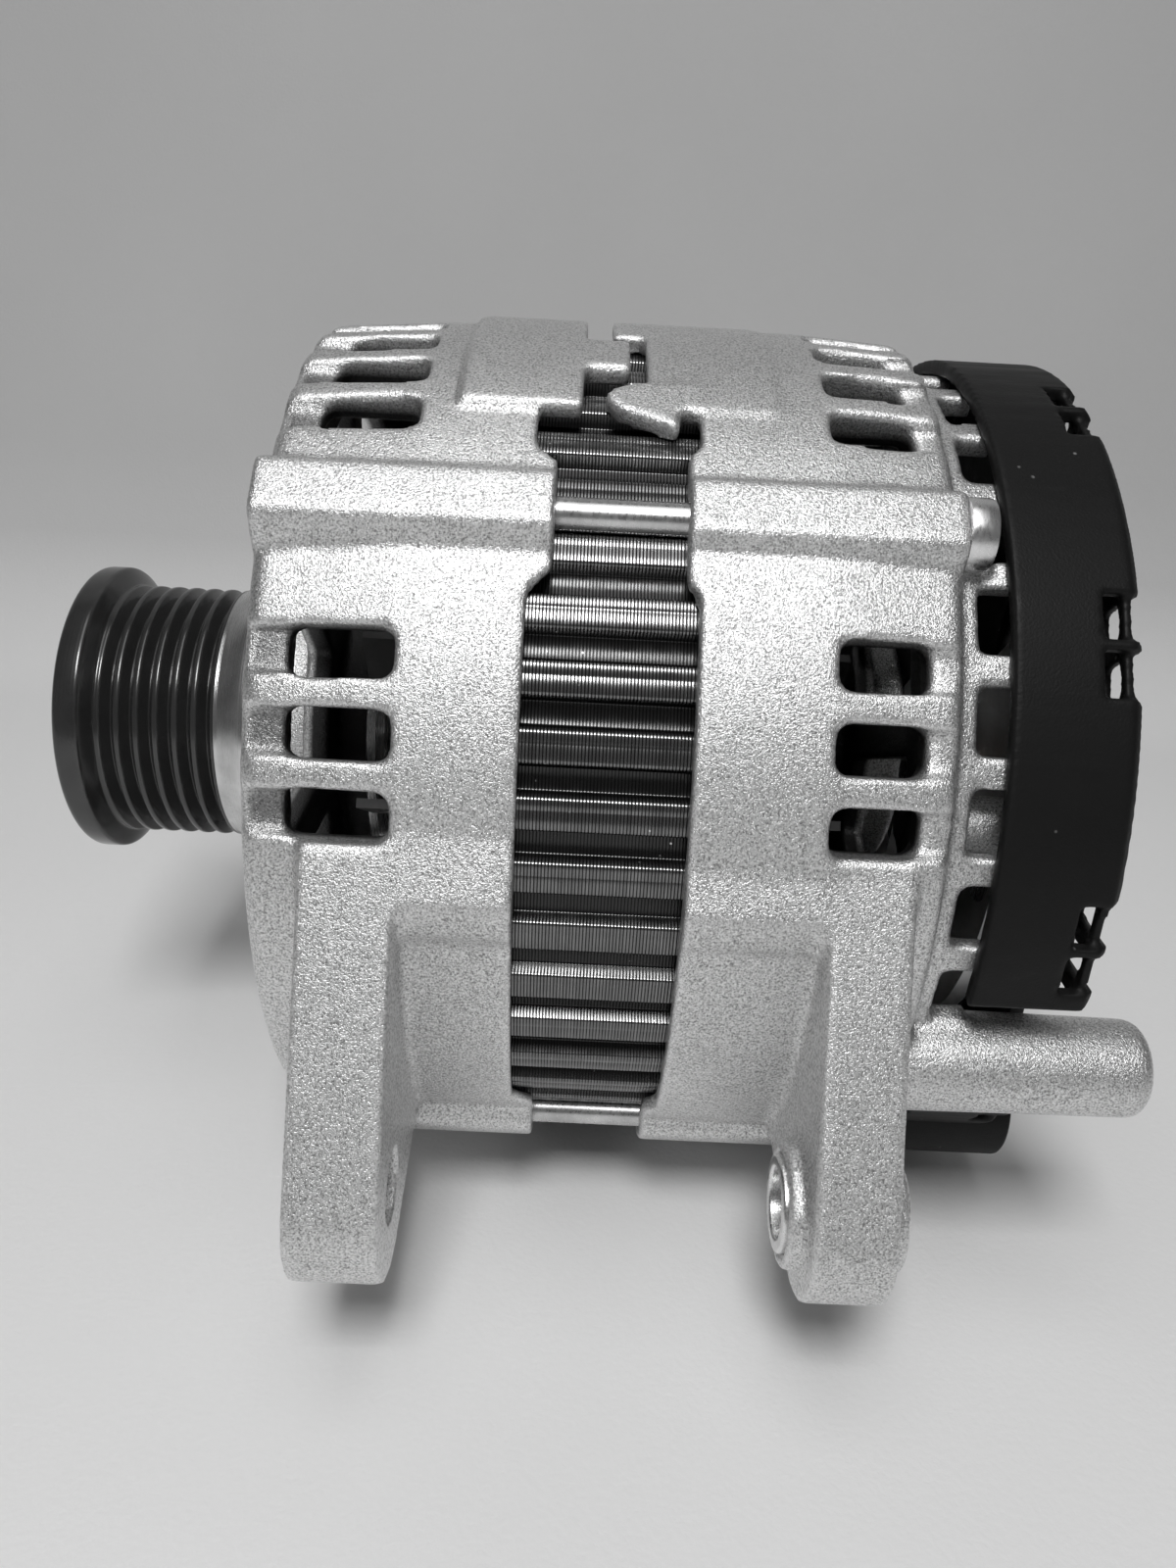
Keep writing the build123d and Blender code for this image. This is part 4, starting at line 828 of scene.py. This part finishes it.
CAST_VOXEL = 0.8 * MM
CAST_PASSES = 4
TRIANGLES = 190000
front_casting = even_skin("front_casting", "front_housing", CAST_VOXEL, CAST_PASSES, TRIANGLES,
                          carve_front)
stands_for(front_casting, "housing", "front_housing")
rear_casting = even_skin("rear_casting", "rear_housing", CAST_VOXEL, CAST_PASSES, TRIANGLES,
                         carve_rear)
stands_for(rear_casting, "housing", "rear_housing")

# %% [markdown]
# ## The moulded cover
# The cover is one thin moulding, with sharper edges than a casting's. The same skin serves, with
# smaller cells, so its thin bars keep their shape, and with one pass, so its edges stay crisp.

# %% Moulded cover
COVER_VOXEL = 0.6 * MM
COVER_PASSES = 1
moulded_cover = even_skin("moulded_cover", "rear_cover", COVER_VOXEL, COVER_PASSES, TRIANGLES,
                          carve_cover)
stands_for(moulded_cover, "housing", "rear_cover")

# %% [markdown]
# ## The sheet stack
# The stator is a pile of punched sheets half a millimetre thick. Its outside has forty-eight broad
# teeth with grooves between them, and every tooth has a hair-fine nick along it. Each sheet's edge
# is slightly crowned and no two sheets line up exactly, which is what breaks the highlights into
# dashes. Single sheets would be fifty-six objects that hide each other. The whole stack is one grid
# instead: the outline round the shaft, repeated for every sheet.

# %% Sheet stack
SHEET = 0.5 * MM
TEETH = 48
STACK_R = 74.6 * MM
BORE_R = 54.5 * MM
CROWN = 0.05 * MM
STAGGER = 0.006 * MM
FIRST_GROOVE = 45.0
FIRST_SEEN = 68.0 * MM
LAST_SEEN = 96.0 * MM
TOOTH_OUTLINE = np.array([
    (0.0, 2.5), (1.6, 2.5), (1.95, 2.3), (2.35, 0.35), (2.6, 0.1), (2.95, 0.0), (5.15, 0.0),
    (5.36, 0.08), (5.57, 0.0), (6.8, 0.0), (7.16, 0.1), (7.41, 0.35), (7.81, 2.3), (8.16, 2.5),
]) * MM


def sheet_stack(front, back, seen_from, seen_to):
    """Grid of rows along x and an outline round it.

    Radius is the stack's radius less the groove's depth at that angle, less the crown at each
    joint between sheets, plus a small random step for each sheet.
    """
    count = int(round((seen_to - seen_from) / SHEET))
    joints = seen_from + SHEET * np.arange(count + 1)
    middles = (joints[:-1] + joints[1:]) / 2
    step = np.random.default_rng(4).normal(0, STAGGER, count)
    seen = np.stack([np.stack([joints[:-1], middles], 1), np.stack([0 * step - CROWN, step], 1)], -1)
    ends = [[[front, 0.0], [seen_from - SHEET, 0.0]], [[seen_to, -CROWN], [back, 0.0]]]
    x, lift = np.concatenate([ends[0], seen.reshape(-1, 2), ends[1]]).T
    pitch = 360.0 / TEETH
    offset = TOOTH_OUTLINE[:, 0] / STACK_R
    degrees = (FIRST_GROOVE + pitch * np.arange(TEETH)[:, None] + np.degrees(offset)[None]).ravel()
    depth = np.tile(TOOTH_OUTLINE[:, 1], TEETH)
    radius = STACK_R - depth[None, :] + lift[:, None]
    outer = outward(degrees)[None] * radius[..., None]
    outer[..., 0] = x[:, None]
    bore = outward(degrees)[None] * np.full((2, 1, 1), BORE_R)
    bore[..., 0] = np.array([back, front])[:, None]
    points = np.concatenate([outer, bore])
    faces = grid_faces(len(points), len(degrees), closed_rows=True)
    return tidy_mesh(put_mesh("sheet_stack", points, faces), sharp=60)


stack_low, stack_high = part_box("stator_core")
stack = sheet_stack(stack_low[0], stack_high[0], FIRST_SEEN, LAST_SEEN)
stands_for(stack, "housing", "stator_core")

# %% [markdown]
# ## The winding heads
# Where the wire leaves the slots it bends over to the next slot of its phase. Each loop here is a
# round wire that rises from one slot, leans over and comes down six slots on, outside its
# neighbours on the way out and inside them on the way back, so the loops cross as wound ones do.
# A curve with a bevel would do for one loop. For ninety-six at each end, one array is quicker.

# %% Winding heads
WIRE_R = 1.15 * MM
HEAD_INNER = 58.4 * MM
HEAD_OUTER = 64.6 * MM
LAYER_REACH = (11.5 * MM, 8.2 * MM)
SUNK = 1.0 * MM
SLOTS_SPANNED = 6


def wire_loops(name, base, way, reach, wire_r, inner_r, outer_r, span, phase=0.0):
    """Tubes along leaning loops.

    Along a loop t goes from 0 to 1: the angle moves on by the span, the height is the reach times
    a rounded sine, and the radius goes from outer to inner with a smooth step. Around the tube the
    section is a circle in the plane of the radius and of the cross product of radius and path.
    """
    t = np.linspace(0, 1, 21)
    pitch = 360.0 / TEETH
    start = FIRST_GROOVE + pitch * (np.arange(TEETH) + 0.5 + phase)
    degrees = start[:, None] + span * pitch * (0.5 - 0.5 * np.cos(pi * t))[None]
    x = base + way * (reach - wire_r) * np.sin(pi * t) ** 0.7
    ease = t * t * (3 - 2 * t)
    radius = outer_r + (inner_r - outer_r) * ease
    path = outward(degrees) * radius[None, :, None]
    path[..., 0] = x[None]
    along = np.gradient(path, axis=1)
    along /= np.linalg.norm(along, axis=-1, keepdims=True)
    out = outward(degrees)
    out -= along * np.sum(out * along, axis=-1, keepdims=True)
    out /= np.linalg.norm(out, axis=-1, keepdims=True)
    side = np.cross(along, out)
    spin = np.arange(8) * pi / 4
    ringed = out[:, :, None] * np.cos(spin)[:, None] + side[:, :, None] * np.sin(spin)[:, None]
    points = path[:, :, None] + wire_r * ringed
    faces = grid_faces(len(t), len(spin))
    every = np.concatenate([faces + k * len(t) * len(spin) for k in range(TEETH)])
    return put_mesh(name, points, every)


def winding_heads():
    """Two layers of loops at each end of the stack."""
    made = []
    for end, way in ((stack_low[0], -1), (stack_high[0], 1)):
        for layer, reach in enumerate(LAYER_REACH):
            made.append(wire_loops(f"loops_{way}_{layer}", end - way * SUNK, way, reach + SUNK,
                                   WIRE_R, HEAD_INNER, HEAD_OUTER, SLOTS_SPANNED, 0.5 * layer))
    return made


def joined(name, parts):
    """One object made of several: the points are stacked and the face indices moved on."""
    points, faces, total = [], [], 0
    for part in parts:
        own = np.empty(len(part.data.vertices) * 3)
        part.data.vertices.foreach_get("co", own)
        corners = np.empty(len(part.data.polygons) * 4, dtype=int)
        part.data.loops.foreach_get("vertex_index", corners)
        points.append(own.reshape(-1, 3))
        faces.append(corners.reshape(-1, 4) + total)
        total += len(own) // 3
        bpy.data.objects.remove(part)
    return put_mesh(name, np.concatenate(points), np.concatenate(faces))


heads = joined("winding_heads", winding_heads())
stands_for(heads, "housing", "stator_winding")

# %% [markdown]
# ## The pulley
# The belt runs in six V grooves between a wide front flange and a flared rear collar. The whole
# section is one closed outline whose corners are rounded before it is turned, because a polished
# edge shows as a bright line and a sharp one doesn't. A Screw modifier could turn it as well, but
# its corners would need a Bevel that guesses. The collar is bare metal, the rest is dark.

# %% Pulley
GROOVE_PITCH = 3.56
CREST_R = 24.8
ROOT_R = 22.1
FLANGE_R = 28.2
COLLAR_R = 27.0
BARE_FROM = 10.9


def pulley_section():
    """Corner points of the pulley's half section and the radius of each corner, in millimetres."""
    crest = [(-3 * GROOVE_PITCH + k * GROOVE_PITCH) for k in range(7)]
    ribs = [(x + side, CREST_R, 0.3) for x in crest for side in (-0.45, 0.45)]
    roots = [(x + GROOVE_PITCH / 2, ROOT_R, 0.5) for x in crest[:-1]]
    belt = []
    for k in range(7):
        belt += ribs[2 * k:2 * k + 2] + roots[k:k + 1]
    return np.array([
        (-17.8, 20.0, 0.3), (-17.8, 26.9, 0.8), (-16.9, FLANGE_R, 0.8), (-12.9, FLANGE_R, 0.5),
        (-11.9, 26.4, 0.8), *belt, (11.6, CREST_R, 0.8), (15.8, COLLAR_R, 1.2),
        (17.7, COLLAR_R, 0.6), (17.7, 18.0, 0.3), (-14.3, 18.0, 0.2), (-14.3, 20.0, 0.2),
    ])


section = pulley_section()
ribbed_pulley = turned_piece("ribbed_pulley", section[:, :2] * MM, section[:, 2] * MM, 192)
ribbed_pulley.data.materials.append(BLACKENED)
ribbed_pulley.data.materials.append(BRIGHT)
centres = np.empty(len(ribbed_pulley.data.polygons) * 3)
ribbed_pulley.data.polygons.foreach_get("center", centres)
bare = (centres[::3] > BARE_FROM * MM).astype(np.int32)
ribbed_pulley.data.polygons.foreach_set("material_index", bare)
stands_for(ribbed_pulley, "pulley", "pulley")

# %% [markdown]
# ## The pulley's cap
# A pressed cap closes the bore in front and keeps the clutch's grease in. It has a shallow dish and
# one ring, both easy to draw as a half section, so it is turned like the pulley.

# %% Pulley cap
CAP_OUTLINE = np.array([
    (-17.8, 0.0), (-17.8, 13.0), (-17.2, 14.5), (-17.2, 16.2), (-17.8, 17.2), (-17.8, 18.6),
    (-17.3, 20.0), (-14.3, 20.0), (-14.3, 0.0),
]) * MM
front_cap = turned_piece("front_cap", CAP_OUTLINE, 0.5 * MM, 96)
stands_for(front_cap, "pulley", "pulley_cap")

# %% [markdown]
# ## Fasteners
# The long bolts that hold the two castings have round heads with a hexagon socket. A boolean could
# sink the socket. Here it is the same turned outline, with its radius cut off at the hexagon's
# flats, which needs no second object.

# %% Through bolts and screws
def socket_screw(name, places, head_x, head_r, height, shank_r, tip_x, flats, sides=48):
    """Turned screws: shank, round head with soft edges, and a hexagon socket in its face."""
    top = head_x + height
    corners = np.array([
        (tip_x, 0.0), (tip_x, shank_r - 0.4), (tip_x + 0.4, shank_r), (head_x, shank_r),
        (head_x, head_r), (top, head_r), (top, flats * 0.62), (top - 0.5, flats * 0.56),
        (top - height * 0.5, flats * 0.56), (top - height * 0.5, 0.0),
    ])
    radius = np.array([0, 0.2, 0.2, 0.1, 0.3, 0.7, 0.2, 0.1, 0.1, 0])
    cut = np.full(len(corners), 1e3)
    cut[7:9] = flats
    return turned_piece(name, corners * MM, radius * MM, sides, places, 3, cut * MM, sharp=40)


BOLT_CIRCLE = 75.5 * MM
POST_CIRCLE = 62.0 * MM
BOLT_PLACES = tuple((BOLT_CIRCLE, angle) for angle in (45.0, 135.0, 225.0, 315.0))
socket_bolts = socket_screw("socket_bolts", BOLT_PLACES, 132.0, 5.4, 4.1, 2.5, 44.0, 5.0)
stands_for(socket_bolts, "housing", "through_bolts")
POST_PLACES = tuple((POST_CIRCLE, angle) for angle in (10.0, 148.0, 238.0))
lid_screws = socket_screw("lid_screws", POST_PLACES, 158.5, 4.2, 3.0, 2.0, 142.0, 3.6, 36)
stands_for(lid_screws, "housing", "cover_screws")

# %% [markdown]
# ## The bush, the sleeve and the terminal
# The rear lug holds a steel bush that slides when the mounting bolt is drawn up. Under the long
# boss a black sleeve shields the output stud and its nut. All four are turned about their own
# lines, which lie beside the shaft. The thread is drawn as rings and not as a helix, which looks
# the same at this size and closes without a seam.

# %% Bush, sleeve, stud and nut
PIVOT = (95.4 * MM, -27.5)
TERMINAL = (69.2 * MM, -58.2)
BUSH_BORE_R = 5.25 * MM
BUSH_R = 7.3 * MM
SLEEVE_R = 11.4 * MM
SLEEVE_BORE_R = 9.2 * MM
SLEEVE_FLOOR = 3.0 * MM
bush_low, bush_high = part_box("lug_bush")
bush_corners = [(bush_low[0], BUSH_BORE_R), (bush_low[0], BUSH_R),
                (bush_high[0], BUSH_R), (bush_high[0], BUSH_BORE_R)]
slide_bush = turned_piece("slide_bush", bush_corners, 0.5 * MM, 64, (PIVOT,))
stands_for(slide_bush, "lug_bush", "lug_bush")

sleeve_low, sleeve_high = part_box("terminal_sleeve")
x0, x1 = sleeve_low[0], sleeve_high[0]
sleeve_corners = [(x0, 0.0), (x0, SLEEVE_R), (x1, SLEEVE_R), (x1, SLEEVE_BORE_R),
                  (x0 + SLEEVE_FLOOR, SLEEVE_BORE_R), (x0 + SLEEVE_FLOOR, 0.0)]
black_sleeve = turned_piece("black_sleeve", sleeve_corners, 0.8 * MM, 96, (TERMINAL,))
stands_for(black_sleeve, "housing", "terminal_sleeve")


def nut_and_stud():
    """A chamfered hexagon nut, and a stud whose thread is a saw-toothed outline."""
    nut_corners = np.array([(150.0, 3.4), (150.0, 6.9), (150.8, 7.6), (155.7, 7.6), (156.5, 6.9),
                            (156.5, 3.4)])
    nut = turned_piece("hexagon_nut", nut_corners * MM, 0.1 * MM, 96, (TERMINAL,), 2,
                       np.full(len(nut_corners), 13.0) * MM, sharp=30)
    turns = np.arange(6)
    crest = np.stack([156.7 + 0.8 * turns, 0 * turns + 4.0], 1)
    root = np.stack([157.1 + 0.8 * turns, 0 * turns + 3.5], 1)
    thread = np.stack([crest, root], 1).reshape(-1, 2)[:-1]
    body = [(144.5, 0.0), (144.5, 7.0), (147.0, 7.0), (147.0, 3.4), (156.5, 3.4)]
    end = [(161.3, 3.4), (161.5, 2.8), (161.5, 0.0)]
    stud = turned_piece("threaded_stud", np.array([*body, *thread, *end]) * MM, 0.08 * MM, 64,
                        (TERMINAL,), 2, sharp=50)
    return nut, stud


nut, stud = nut_and_stud()
stands_for(nut, "housing", "terminal_nut")
stands_for(stud, "housing", "terminal_stud")

# %% [markdown]
# ## Brush springs
# A coil spring presses each brush on its slip ring, and it shortens when the brush is pushed up.
# A rigid spring would cut into the brush, and one that rides on the brush would leave its seat.
# Here each spring is copied into a mesh of its own, with its slot's finish, and its height is
# printed; the copy keeps its shape.


def brush_coil(which):
    """A copy of a spring in its own mesh, with its slot's finish; gives back the spring's height."""
    node = f"{which}_brush_spring"
    coil = bpy.data.objects.new(f"{which}_brush_coil", frame["nodes"][node].data.copy())
    bpy.context.collection.objects.link(coil)
    coil.data.materials.clear()
    stands_for(coil, "housing", node)
    low, high = (np.array(corner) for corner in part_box(node))
    height = float(high[2] - low[2])
    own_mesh(coil)
    return height


for which in ("front", "rear"):
    print(which, "brush spring, height in mm", round(brush_coil(which) / MM, 2))
